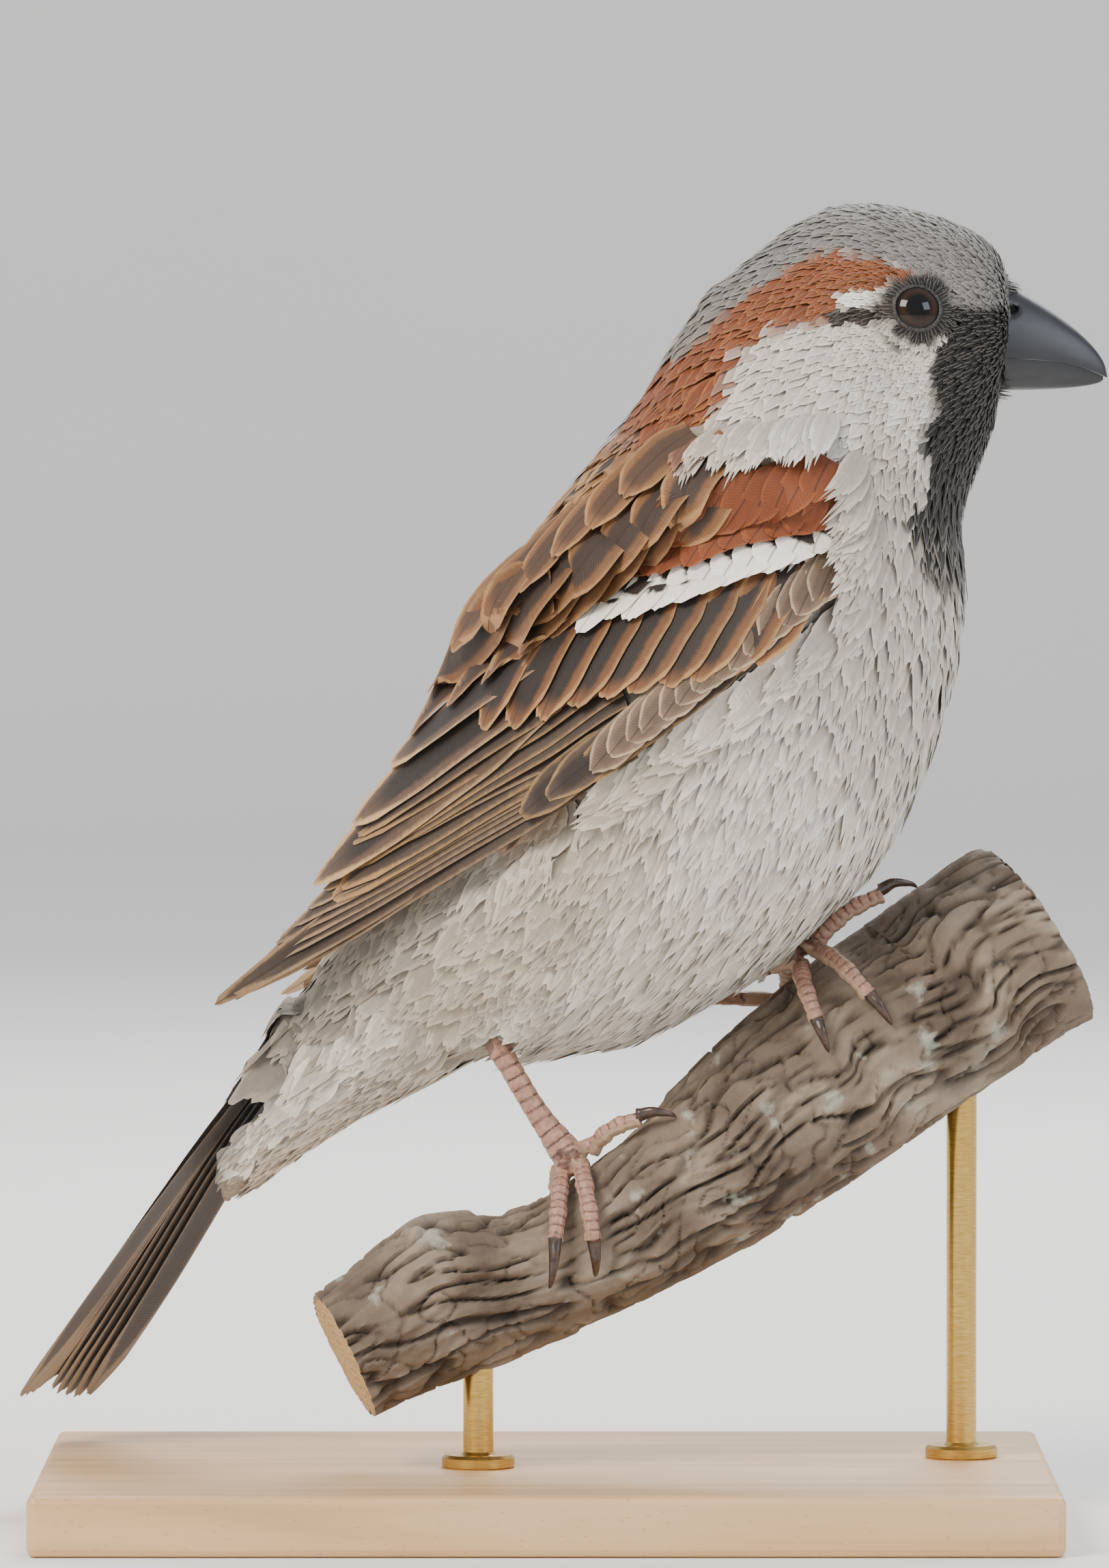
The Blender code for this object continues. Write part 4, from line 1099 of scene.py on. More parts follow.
def row_of(spec, ink, seed, tree):
    """One row of wing feathers, laid on both wings."""
    count, root_a, root_b, tip_a, tip_b, widths, root_lift, tip_lift, sag = spec
    random = np.random.default_rng(seed)

    def between(first, last):
        return np.linspace(first, last, count)

    tips = between(tip_a, tip_b) + random.normal(0, 0.18 if ink else 0.85, (count, 2))
    line, ups = dropped(between(root_a, root_b), tips, sag, tree)
    line = np.concatenate([line, mirrored(line, MIDDLE)])
    ups = np.concatenate([ups, mirrored(ups, 0 * MIDDLE)])
    width = np.tile(between(*widths), 2)
    height = np.tile(np.stack([between(*root_lift), between(*tip_lift)], 1), (2, 1))
    looks = looks_of(line[:, 0], length_of(line[:, -1] - line[:, 0]), width, seed)
    if ink:
        main, edge = shade(*ink[:2])
        vary = random.uniform(0.9, 1.1, (2 * count, 1))
        looks["tone"], looks["trim"] = main * vary, edge * vary
        looks["mark"][:, :2] = ink[2:]
    return {"line": line, "normals": ups, "width": width, "height": height, "looks": looks}


print(sum(2 * spec[0] for spec in ROWS.values()), "feathers drawn for the two wings")

# %% Grow the wings
SOFT_BODY = {"point": 2.0, "taper": 0.6, "calm": 3.0}
WING_SHAPE = {"round": 0.22, "point": 2.6, "waist": 0.6, "belly": 0.3, "taper": 0.7, "camber": 0.012}
LONG_ROWS = ("primaries", "secondaries", "tertials")
IN_PLACE_OF = {"greater_coverts": "coverts", "secondaries": "secondaries", "primaries": "primaries"}
SHOULDER = []  # where the scapulars lie, so that the body coat leaves room for them
for number, (name, spec) in enumerate(ROWS.items()):
    long, soft = name in LONG_ROWS, name.startswith("side")
    group = row_of(spec, INK.get(name), 60 + number, RIGHT_WING if long else NEAR_TREE)
    group["roll"] = np.repeat([0.13, -0.13], spec[0]) * (1.0 if long else 0.55)
    if name.startswith("scapulars"):
        SHOULDER.append(group["line"].reshape(-1, 3))
    if soft:
        look = {**WING_SHAPE, **SOFT_BODY, "round": 0.42, "columns": 19, "rows": 10, "fray": 0.3}
    elif long:
        look = {**WING_SHAPE, "round": 0.12, "soft": False, "columns": 13, "rows": 28, "fray": 0.015}
    else:
        look = {**WING_SHAPE, "columns": 13, "rows": 16, "fray": 0.04}
    if name == "primaries":
        look.update({"round": 0.16, "taper": 0.5})
    mesh = vanes(name, **group, **look, seed=number)
    gone = [n for n in WINGS if n.endswith("_" + IN_PLACE_OF.get(name, "none"))]
    if soft:
        piece(name, mesh, coat_finish, "body_feathers")
    else:
        piece("wing_" + name, mesh, wing_finish, "wing_feathers", *gone)

# %% [markdown]
# ## Sowing the roots
#
# Roots thrown at random clump and leave gaps. So far too many are thrown, and then each root that is kept
# clears the ground round it to its own distance, as seedlings are thinned. The distance is a fixed share of
# the feather's length, so every spot is covered three or four feathers deep, on the face as on the back.
# None grows where a wing or the tail hides the skin, in an eye socket, or under the scapulars.

# %% Sow the roots
ROOT_GAP = 0.165  # from root to root, as a share of the feather's length


def root_room(points):
    """How far from each root the next one may stand."""
    return ROOT_GAP * feather_length(points)


def sown(points, triangles, count, seed):
    """Roots spread over a mesh, each with its own room."""
    dots = spread(points, triangles, count, 1 / root_room(points[triangles].mean(1)) ** 2, seed)
    gap = root_room(dots)
    tree = point_tree(dots)
    kept = np.ones(len(dots), bool)
    for i, p in enumerate(dots.tolist()):
        if kept[i]:
            for _, j, _ in tree.find_range(p, gap[i]):
                kept[j] = kept[j] and j <= i
    return dots[kept]


skin_triangles = np.concatenate([skin_quads[:, [0, 1, 2]], skin_quads[:, [0, 2, 3]]])
roots = sown(skin_points, skin_triangles, 95000, 3)
root_t, root_a, _ = on_body(roots)
root_a = from_back(root_a)
_, outward = nearest(roots)
over = [WING_TREE.ray_cast(p, n, 4.0)[0] is not None for p, n in zip(roots.tolist(), outward.tolist())]
hidden = (np.array(over) | (gap_to(WING_TREE, roots) < 0.8)) & (root_t > 20)
hidden |= (dot(outward, TAIL_WAY) > 0.6) & (root_t > 80)  # the body's blunt end, where the tail comes out
hidden |= from_eye(roots) < EYE_BALL + 0.35
shoulder_tree = point_tree(np.concatenate(SHOULDER))
hidden |= np.array([shoulder_tree.find(p)[2] for p in roots.tolist()]) < 2.6
print(len(roots), "roots sown,", int(hidden.sum()), "of them out of sight")

# %% Grow the body coat


def coat_of(roots, seed):
    """Vanes, ready to make, for body feathers at these roots."""
    random = np.random.default_rng(seed)
    lengths = feather_length(roots) * random.uniform(0.88, 1.14, len(roots))
    place, normals = nearest(roots)
    ways = comb(place, normals)
    ways = unit(ways + np.cross(normals, ways) * random.normal(0, 0.14, (len(roots), 1)))
    line, ups = lay_down(place, ways, lengths)
    run = line[:, -1] - line[:, 0]
    whole = (length_of(run) > 0.74 * lengths) & (dot(ups, ups[:, :1]).min(1) > 0.35)  # not crumpled in a fold
    whole &= (dot(unit(run), ways) > 0.7) & (length_of(nearest(line[:, -1])[0] - line[:, -1]) < 1.2)
    place, line, ups, lengths = place[whole], line[whole], ups[whole], lengths[whole]
    t, a, _ = on_body(place)
    loose = ease(t, 30, 50) * ease(from_back(a), 90, 120)  # the belly's feathers are wider and more frayed
    widths = lengths * (0.42 + 0.06 * loose) * random.uniform(0.9, 1.1, len(place))
    tips = coat_depth(lengths) * random.uniform(0.86, 1.04, len(place)) * (1 - 0.6 * ease(t, 84, 98))
    height = np.stack([np.full(len(place), -0.12), tips], axis=1)
    looks = looks_of(place, lengths, widths, seed)
    fray = 0.26 + 0.2 * loose
    return {"line": line, "normals": ups, "width": widths, "height": height, "looks": looks, "fray": fray}


thigh = on_thigh(roots)
PARTS = {  # which roots; how many columns and rows a vane has
    "coat_face": ((root_t < 9) & (root_a >= 50), 7, 4),
    "coat_crown": ((root_t < 9) & (root_a < 50), 7, 5),
    "coat_head": ((root_t >= 9) & (root_t < 19), 7, 6),
    "coat_neck": ((root_t >= 19) & (root_t < 32) & ~thigh, 15, 5),
    "coat_back": ((root_t >= 32) & (root_a < 80) & ~thigh, 15, 5),
    "coat_under": ((root_t >= 32) & (root_a >= 80) & ~thigh, 19, 5),
    "coat_thighs": (thigh, 7, 6),
}
for number, (name, (chosen, columns, rows)) in enumerate(PARTS.items()):
    group = coat_of(roots[chosen & ~hidden], 20 + number)
    on_head = number < 3
    shape = {} if on_head else {**SOFT_BODY, "round": 0.4}
    mesh = vanes(name, **group, **shape, columns=columns, rows=rows, seed=number)
    piece(name, mesh, coat_finish, "head_feathers" if on_head else "body_feathers")

# %% [markdown]
# ## The bare skin
#
# Between two feathers, a little skin with short grey down on it can show. It is dull and soft, so it takes
# the markings' colours, darker, with a fine cloud of down. A plain dark skin would be simpler, but then
# every gap in a pale breast would look like a hole.

# %% Show the skin
skin_finish, tree, shader = new_material("skin and down under the feathers", Roughness=0.8, IOR=1.45)
own = put(tree, "Attribute", attribute_name="tone")
spot = put(tree, "TexCoord").outputs["Object"]
down = put(tree, "TexNoise", {"Vector": spot, "Scale": 2500.0, "Detail": 4.0})
light = put(tree, "MapRange", (down, 0.3, 0.7, 0.5, 0.85))
colour = put(tree, "Mix", {0: 1.0, 6: own, 7: light}, blend_type="MULTIPLY", **COLOURS)
finish_with(tree, shader, colour, down, 0.4, 0.1)

skin_mesh = mesh_of("skin", skin_points, skin_quads, sharp=180)
paint(skin_mesh, "tone", skin_tone)
piece("skin", skin_mesh, skin_finish, "body_feathers", *FLESH)

# %% [markdown]
# ## The tail
#
# Twelve tail feathers lie like a closed fan: the middle pair on top, and each outer pair under the one
# before. The tail's solid gives its length, its width and its top face, and each feather is laid from the
# narrow root to its own place across the tip. The tips of the outer pairs reach a little further, which
# makes the sparrow's shallow fork.

# %% Measure the tail
TAIL_TREE = surface_tree(tail_points, tail_triangles)
dots = spread(tail_points, tail_triangles, 20000)
tail_middle = dots.mean(0)
tail_axes = np.linalg.svd(dots - tail_middle, full_matrices=False)[2]
tail_way = tail_axes[0] * -np.sign(tail_axes[0][2])
tail_up = tail_axes[2] * -np.sign(tail_axes[2][0])
tail_side = np.cross(tail_up, tail_way)
along, across = (dots - tail_middle) @ tail_way, (dots - tail_middle) @ tail_side
root_half = np.abs(across[along < np.quantile(along, 0.08)]).max() * 0.75
tip_half = np.abs(across[along > np.quantile(along, 0.9)]).max()
print(f"the tail is {np.ptp(along):.1f} mm long, {np.ptp(across):.1f} wide, its top looks {tail_up.round(2)}")

# %% Lay the tail feathers
PAIRS = 6
EDGE = 0.8  # rays to the top face keep this far from the tail's end
t = np.linspace(0, 1, 11)
lines, ups, lifts, rolls = [], [], [], []
for pair, hand in [(pair, hand) for pair in range(PAIRS) for hand in (-1, 1)]:
    share = (pair + 0.35) / PAIRS
    reach = along[np.abs(across - hand * share * tip_half) < 0.7].max() - 0.1
    sides = hand * share * (root_half + (tip_half * 0.93 - root_half) * ease(t, -0.2, 0.8))
    line = []
    for side, forth in zip(sides, np.linspace(along.min(), reach, len(t))):
        start = tail_middle + tail_way * min(forth, reach - EDGE) + tail_side * side + tail_up * 12
        hit = TAIL_TREE.ray_cast(Vector(start), Vector(-tail_up))
        deep = dot(np.array(hit[0]) - tail_middle, tail_up) if hit[0] else 0.0
        line.append(tail_middle + tail_way * forth + tail_side * side + tail_up * deep)
    line = np.array(line)
    bow = np.polyval(np.polyfit(t, line @ tail_up, 3), t)
    lines.append(line + (bow - line @ tail_up)[:, None] * tail_up)
    ups.append(np.tile(unit(tail_up + tail_side * hand * 0.16 * share), (len(t), 1)))
    lifts.append((-0.15 - 0.2 * pair, -0.08 - 0.13 * pair))
    rolls.append(0.08 * hand)
lines, count = np.array(lines), len(lines)
width = np.linspace(5.6, 5.2, count)
looks = looks_of(lines[:, 0], np.full(count, np.ptp(along)), width, 90)
main, edge = shade("463a30", "8f7d68")
own = np.random.default_rng(91).uniform(0.9, 1.12, (count, 1))
looks["tone"], looks["trim"] = main * own, edge * own
looks["mark"][:, 0] = 0.5
TAIL_SHAPE = {"round": 0.1, "point": 2.6, "waist": 0.55, "taper": 0.85, "soft": False, "roll": rolls}
group = {"line": lines, "normals": np.array(ups), "width": width, "height": np.array(lifts), "looks": looks}
tail_mesh = vanes("tail_feathers", **group, **TAIL_SHAPE, columns=13, rows=30, fray=0.012, seed=0)
piece("tail_feathers", tail_mesh, wing_finish, "tail_feathers", "tail")

# %% [markdown]
# ## The bill
#
# A sparrow's bill is a short cone in two halves, blue-black on a breeding male. The solid's own ends and
# ridge are read off, and each half is built again with many more rings. The upper half gets its ridge,
# a cutting edge that hangs a little over the lower one, and a small open nostril by the feathers. Bill horn
# is keratin too, worn smooth, so it has a soft gloss and a fine grain that runs to the tip.

# %% Bill horn
bill_finish, tree, shader = new_material("blue-black bill horn", Roughness=0.4, IOR=1.54)
spot = put(tree, "TexCoord").outputs["Object"]
grain = put(tree, "Mapping", {0: spot, 3: (260.0, 1400.0, 1400.0)})
grain = put(tree, "TexNoise", {"Vector": grain, "Scale": 1.0, "Detail": 4.0})
tone = put(tree, "ValToRGB", [grain], ramp=[(0.3, "0f1013"), (0.7, "1e2024")])
base_end = BILL_BASE[0] * MM
pale = put(tree, "MapRange", (put(tree, "SeparateXYZ", [spot]), base_end + 10.5 * MM, base_end + 4 * MM))
pale = put(tree, "Math", (pale, 0.3), **TIMES)
tone = put(tree, "Mix", {0: pale, 6: tone, 7: linear("2e2f33")}, **COLOURS)
finish_with(tree, shader, tone, grain, 0.25, 0.04)
print("made the finish", bill_finish.name)

# %% Build the bill
upper_points, _ = solid("bill_upper")
BILL_LONG = np.ptp(upper_points[:, 0])
GAPE = upper_points[upper_points[:, 0] < BILL_BASE[0] + 0.1, 2].min()  # the height of the cut at the base
TIP_CUT = upper_points[upper_points[:, 0] > BILL_BASE[0] + BILL_LONG - 0.1, 2].min() - 0.02
BILL_RINGS, DOME, FLAT = 60, 49, 9  # rings, and the points of each one's dome and of its flat side
ROOTED = 0.6  # how far the horn reaches back under the feathers
NOSTRIL = (2.3, 4.4)  # from the base, and above the gape


def half_bill(name, sign):
    """One half of the bill: domed sections from the base to the tip. The sign is 1 above and -1 below."""
    points, _ = solid(name)
    upper = sign > 0
    low, high = points.min(0), points.max(0)
    base = points[points[:, 0] < low[0] + 0.1]
    rise, half = np.ptp(base[:, 2]), np.ptp(base[:, 1]) / 2
    high[0] += 0 if upper else 0.5
    run = high[0] - low[0] + ROOTED
    t = np.linspace(0, 1, BILL_RINGS)[:, None]
    angle = np.linspace(0, math.pi, DOME)[None]
    whole = (t * run - ROOTED) / BILL_LONG
    bow = 0.7 * np.sin(math.pi * np.clip(whole, 0, 1) ** 1.6) + 0.02 * sign
    edge = GAPE + (TIP_CUT - GAPE) * whole + bow
    height = (rise - 0.3) * (1 - t) ** (0.53 if upper else 0.65) + 0.25 - bow * sign
    width = half * (1 - t) ** 0.78 * (1.0 if upper else 0.95) + 0.12
    ridge = 0.16 * np.exp(-(((angle - math.pi / 2) / 0.16) ** 2)) * (1 - t) ** 0.5 * upper
    side = np.sign(np.cos(angle)) * np.abs(np.cos(angle)) ** 0.85
    x = low[0] - ROOTED + run * t + 0 * angle
    y = HEAD_Y + width * side * (1 - 0.05 * np.sin(2 * angle) ** 2)
    z = edge + sign * (height + ridge) * np.sin(angle) ** 0.92
    if upper:
        over = z - GAPE - NOSTRIL[1]
        hole = ((x - low[0] - NOSTRIL[0] - 0.5 * over) / 0.75) ** 2 + (over / 0.42) ** 2
        y = y - 0.9 * np.exp(-(hole**2)) * np.sign(y - HEAD_Y)
    inside = np.linspace(-0.93, 0.93, FLAT)
    flat_z = edge + sign * 0.28 * (1 - t) + 0 * inside
    inner = np.stack([x[:, :FLAT], HEAD_Y + width * inside, flat_z], axis=-1)
    rings = np.concatenate([np.stack([x, y, z], axis=-1), inner], axis=1)
    quads, ends = barrel(*rings.shape[:2])
    if not upper:
        quads, ends = quads[:, ::-1], ends[:, ::-1]
    return mesh_of(name, rings.reshape(-1, 3), quads, ends, sharp=50)


piece("bill_upper_horn", half_bill("bill_upper", 1), bill_finish, "bill_horn", "bill_upper")
piece("bill_lower_horn", half_bill("bill_lower", -1), bill_finish, "bill_horn", "bill_lower")

# %% [markdown]
# ## The eyes
#
# An eye is a ball set deep in the head, and only the part inside the lids shows. The lids are a thin ring
# of bare grey skin that lies on the ball, slightly longer than high, with a fine beaded edge. The ball is
# glass-clear on the outside, so it mirrors the lamps, and that small bright point brings the face alive.
# A brown iris and a black pupil are painted by the distance from the eye's own axis. The wet front of an
# eye bends light by 1.376, and nothing on the bird is smoother.

# %% Finishes of the eye
eye_finish, tree, shader = new_material("dark brown eye", Roughness=0.04, IOR=1.376)
off = put(tree, "SeparateColor", [put(tree, "Attribute", attribute_name="off_axis")])
rays = put(tree, "TexNoise", {"Vector": put(tree, "TexCoord").outputs["Object"], "Scale": 2600.0})
edge = put(tree, "Math", (rays, 0.05, off), **TIMES_PLUS)
PUPIL = [(0.0, "040303"), (0.42, "040303")]
IRIS = [(0.48, "1c0e07"), (0.62, "2c180b"), (0.74, "0e0805"), (0.85, "060505")]
wire(shader, {"Base Color": put(tree, "ValToRGB", [edge], ramp=PUPIL + IRIS)})

lid_finish, tree, shader = new_material("bare grey eyelid skin", Roughness=0.55, IOR=1.42)
beads = put(tree, "TexVoronoi", {"Vector": put(tree, "TexCoord").outputs["Object"], "Scale": 4200.0})
tone = put(tree, "ValToRGB", [beads], ramp=[(0.0, "4b4643"), (0.8, "1e1b1a")])
finish_with(tree, shader, tone, beads, -0.5, 0.08)
print("made the finishes", eye_finish.name, "and", lid_finish.name)

# %% Measure the eyes
ROUND_EYE, BALL_RINGS = 64, 48
PAINTED = 2.75  # the distance from the axis where the iris's ramp ends
APERTURE = 2.08  # half the height of the opening between the lids
# the lid's section: how far out of the opening, and how high over the ball
LID_OUT = np.array([-0.12, 0.0, 0.1, 0.22, 0.4, 0.8, 1.4, 0.6])
LID_UP = np.array([-0.12, 0.08, 0.14, 0.1, -0.08, -0.6, -1.4, -1.2])
LID_ROWS = ((0.34, 44), (0.56, 48), (0.82, 52), (1.1, 56), (1.4, 60))  # how far out, and how many feathers
FORM_NORMALS = unit(form_normals[skin_quads].sum(1))
lid_radii = APERTURE + LID_OUT
lid_top = np.sqrt(EYE_BALL**2 - lid_radii[1] ** 2)
print(f"the lids stand {lid_top:.2f} mm over the middle of each eye")


def axes_of(centre):
    """The directions forwards, upwards and outwards of an eye."""
    sideways = np.array([0.0, np.sign(centre[1] - HEAD_Y), 0.0])
    place = FORM_TREE.find_nearest(centre + sideways * 6)[2]
    axis = unit(sideways + 0.35 * FORM_NORMALS[place])
    ahead = unit(np.array([1.0, 0, -0.12]) - axis * axis[0])
    above = np.cross(ahead, axis)
    return ahead, above * np.sign(above[2]), axis


def rings_round(centre, axes, radii, heights, stretch=0.0):
    """Rings of points round an eye's axis."""
    ahead, above, axis = axes
    turns = circle(ROUND_EYE)
    ring = np.outer(np.cos(turns) * (1 + stretch), ahead) + np.outer(np.sin(turns), above)
    return (centre + ring * radii[:, None, None] + (heights[:, None] * axis)[:, None]).reshape(-1, 3)


def eye_feathers(name, centre, axes):
    """Rows of tiny feathers that start on the lid and lie over the rim of the socket."""
    ahead, above, axis = axes
    random = np.random.default_rng(94)
    roots, tips = [], []
    for row, (out, count) in enumerate(LID_ROWS):
        for turn in 2 * math.pi * (np.arange(count) + 0.5 * row) / count:
            radial = math.cos(turn) * ahead + math.sin(turn) * above
            round_it = math.cos(turn) * above - math.sin(turn) * ahead
            high_up = centre + radial * (APERTURE + out + 3.2) + axis * 9
            hit = FORM_TREE.ray_cast(Vector(high_up), Vector(-axis))
            rim = dot(np.array(hit[0]) - centre, axis) if hit[0] else 1.0
            low = lid_top - 0.5 * out + 0.05
            swept = unit(radial + round_it * (0.5 * math.sin(turn) + random.normal(0, 0.22)))
            roots.append(centre + radial * (APERTURE + out) + axis * low)
            tips.append(roots[-1] + swept * random.uniform(0.75, 1.2) + axis * (rim - low) * 0.42)
    roots, tips = np.array(roots), np.array(tips)
    t = np.linspace(0, 1, 6)[None, :, None]
    out = roots - centre
    ups = unit(axis + 0.55 * unit(out - axis * dot(out, axis)[:, None]))
    length = np.full(len(roots), 1.25)
    group = {"line": roots[:, None] * (1 - t) + tips[:, None] * t, "width": length * 0.42}
    group["normals"] = np.tile(ups[:, None], (1, 6, 1))
    group["height"] = np.tile([-0.08, 0.1], (len(roots), 1))
    group["looks"] = looks_of(roots, length, length * 0.4, 95)
    return vanes(name, **group, columns=5, rows=5, fray=0.2, seed=96)


# %% Build the eyes and the lids
for side, centre in (("right", EYE), ("left", EYE_LEFT)):
    axes = axes_of(centre)
    mirror = dot(np.cross(axes[0], axes[1]), axes[2]) < 0
    polar = np.linspace(0.01, math.pi - 0.01, BALL_RINGS)
    points = rings_round(centre, axes, EYE_BALL * np.sin(polar), EYE_BALL * np.cos(polar))
    quads, ends = barrel(BALL_RINGS, ROUND_EYE, flip=True)
    if mirror:
        quads, ends = quads[:, ::-1], ends[:, ::-1]
    ball = mesh_of("eye_ball_" + side, points, quads, ends, sharp=180)
    far = np.repeat(np.sin(np.minimum(polar, math.pi / 2)) * EYE_BALL / PAINTED, ROUND_EYE)
    paint(ball, "off_axis", far[:, None])
    piece("eye_ball_" + side, ball, eye_finish, "eye", "eye_" + side)

    heights = lid_top - 0.55 * (lid_radii - lid_radii[1]) + LID_UP
    points = rings_round(centre, axes, lid_radii, heights, 0.07)
    index = np.arange(len(points)).reshape(-1, ROUND_EYE)
    quads = hoops(np.concatenate([index, index[:1]]), flip=True)
    lid = mesh_of("eye_lid_" + side, points, quads[:, ::-1] if mirror else quads, sharp=180)
    piece("eye_lid_" + side, lid, lid_finish, "eye")
    name = "eye_feathers_" + side
    piece(name, eye_feathers(name, centre, axes), coat_finish, "head_feathers")

# %% [markdown]
# ## The feathers round the bill
#
# Short stiff feathers lean forward over the base of the bill, and half hide the nostrils. They reach furthest
# on the forehead and the chin. Without them a bill looks like a cone pushed into a ball.

# %% Lay the feathers over the base of the bill
BILL_TREE = surface_tree(*joined(["bill_upper", "bill_lower"]))
random = np.random.default_rng(97)
lines, ups, lengths = [], [], []
for row, count in enumerate((64, 60, 56)):
    for turn in 2 * math.pi * (np.arange(count) + 0.5 * row) / count:
        ring = np.array([0, math.cos(turn), math.sin(turn)])
        reach = 1.5 + random.uniform(-0.3, 0.3)
        forehead = (2.3 if ring[2] > 0 else 1.3) * abs(ring[2]) ** 3
        at = BILL_BASE + ring * 7 + [forehead - 0.5 * row, 0, 0]
        line = []
        for x in reach * np.arange(6) / 5:
            hit = BILL_TREE.ray_cast(Vector(at + [x, 0, 0]), Vector(-ring))
            line.append(hit[0] or BILL_TREE.find_nearest(at + [x, 0, 0] - ring * 2.5)[0])
        line = np.array(line)
        line[:, 0] = np.linspace(at[0], at[0] + reach, 6)
        lines.append(line + ring * (0.12 + 0.22 * row))
        ups.append([unit(ring + [0.25, 0, 0])] * 6)
        lengths.append(reach)
lines, lengths = np.array(lines), np.array(lengths)
height = np.tile([-0.15, 0.22], (len(lines), 1))
looks = looks_of(lines[:, 0], lengths, lengths * 0.3, 98)
group = {"line": lines, "normals": np.array(ups), "width": lengths * 0.32, "height": height, "looks": looks}
bristles = vanes("bill_feathers", **group, columns=5, rows=6, fray=0.3, seed=99)
piece("coat_bill_base", bristles, coat_finish, "head_feathers")

# %% [markdown]
# ## The feet
#
# A bird's foot is a dry bundle of tendons in a sheath of scales. Shank and toes are parted in the solids,
# so short links are laid between them, and each foot is wrapped to one skin, as the body was, with a much
# finer voxel. The scales are then pressed in by arithmetic: rings at even steps along each toe's own middle
# line, plain on top and swollen below, where the pads touch the branch. The claws stay pieces of their own,
# and curve to a fine point.
#
# Leg skin is thin keratin over flesh, so a little light goes in and comes out again pinker. The grooves are
# darker than the scales, and the pads paler.

# %% Leg skin
leg_finish, tree, shader = new_material(
    "scaled leg skin",
    Roughness=0.48,
    IOR=1.5,
    Subsurface_Weight=0.12,
    Subsurface_Radius=(0.9 * MM, 0.45 * MM, 0.3 * MM),
    Subsurface_Scale=1.0,
)
groove, pad = put(tree, "SeparateColor", [put(tree, "Attribute", attribute_name="scale")]).outputs[:2]
spot = put(tree, "TexCoord").outputs["Object"]
grain = put(tree, "TexNoise", {"Vector": spot, "Scale": 2200.0, "Detail": 4.0})
tone = put(tree, "ValToRGB", [grain], ramp=[(0.3, "8f6a58"), (0.7, "b28a74")])
tone = put(tree, "Mix", {0: groove, 6: tone, 7: linear("5a3f34")}, **COLOURS)
tone = put(tree, "Mix", {0: pad, 6: tone, 7: linear("a58a72")}, **COLOURS)
cells = put(tree, "TexVoronoi", {"Vector": spot, "Scale": 3800.0})
finish_with(tree, shader, tone, cells, 0.3, 0.05)
print("made the finish", leg_finish.name)

# %% Wrap the feet and press the scales in
SHANK_SCALE, TOE_SCALE = 1.25, 0.85  # the length of one scale
FOOT_VOXEL, FOOT_SWELL = 0.15, 0.2
TENDON = 0.85  # the radius of the links between shank and toes


def tube(line, radii, sides=20, squash=1.0):
    """The points, quads and end triangles of a smooth tube along a line. The squash narrows it sideways."""
    ways = unit(np.gradient(line, axis=0))
    across = unit(np.cross(ways[0], [0.3, 0.9, 0.31]))
    cos, sin = np.cos(circle(sides)), np.sin(circle(sides)) * squash
    rings = []
    for p, way, radius in zip(line, ways, radii):
        across = unit(across - way * dot(across, way))
        rings.append(p + radius * (np.outer(cos, across) + np.outer(sin, np.cross(way, across))))
    return np.concatenate(rings), *barrel(len(line), sides)


def knuckles(names):
    """A short link from the lower end of the shank to the start of each toe, as closed solids."""
    shank = next(centre_line(*solid(n), 8) for n in names if n.startswith("tarsus"))
    ankle = shank[shank[:, 2].argmin()]
    links = []
    for name in names:
        toe = centre_line(*solid(name), 8)
        toe = toe if length_of(toe[0] - ankle) < length_of(toe[-1] - ankle) else toe[::-1]
        if name.startswith("toe"):
            points, quads, ends = tube(curve_through([ankle, toe[0], toe[1]], 8), [TENDON] * 8)
            links.append((points, np.concatenate([quads[:, [0, 1, 2]], quads[:, [0, 2, 3]], ends])))
    return links


def foot_of(side):
    """Builds one foot: shank and toes in one scaled skin."""
    names = [n for n in frame["nodes"] if n.startswith(("tarsus_" + side, "toe_" + side))]
    points, quads = wrapped(names, FOOT_VOXEL, FOOT_SWELL, knuckles(names))
    points = smoothed(points, quads, 6)
    lines = [curve_through(centre_line(*solid(n), 8), 80) for n in names]
    lines = [line[::-1] if line[0, 2] < line[-1, 2] else line for line in lines]
    tree = point_tree(np.concatenate(lines))
    found = [tree.find(p)[:2] for p in points.tolist()]
    middle, which = np.array([f[0] for f in found]), np.array([f[1] for f in found])
    kind = np.repeat([SHANK_SCALE if n.startswith("tarsus") else TOE_SCALE for n in names], 80)[which]
    along = np.concatenate([steps_along(line) for line in lines])[which] + 0.1 * mottle(points, 1.2, 7)
    up = dot(unit(points - middle), np.array([0.25, -0.2, 0.95]))
    top = np.where(kind == SHANK_SCALE, 1.0, ease(up, -0.3, 0.1))
    phase = (along / kind) % 1.0
    groove = top * np.exp(-((np.minimum(phase, 1 - phase) / 0.09) ** 2))
    pad = np.abs(np.sin(along / kind * 0.9 * math.pi))
    change = -0.1 - 0.1 * groove + (0.1 * pad - 0.02) * (1 - top) + 0.06 * (phase - 0.5) * top
    points = points + corner_normals(points, quads) * change[:, None]
    mesh = mesh_of("foot_" + side, points, quads, sharp=180)
    paint(mesh, "scale", np.stack([groove, 1 - top], axis=1))
    piece("foot_" + side, mesh, leg_finish, "leg_skin", *names)


for side in ("left", "right"):
    foot_of(side)

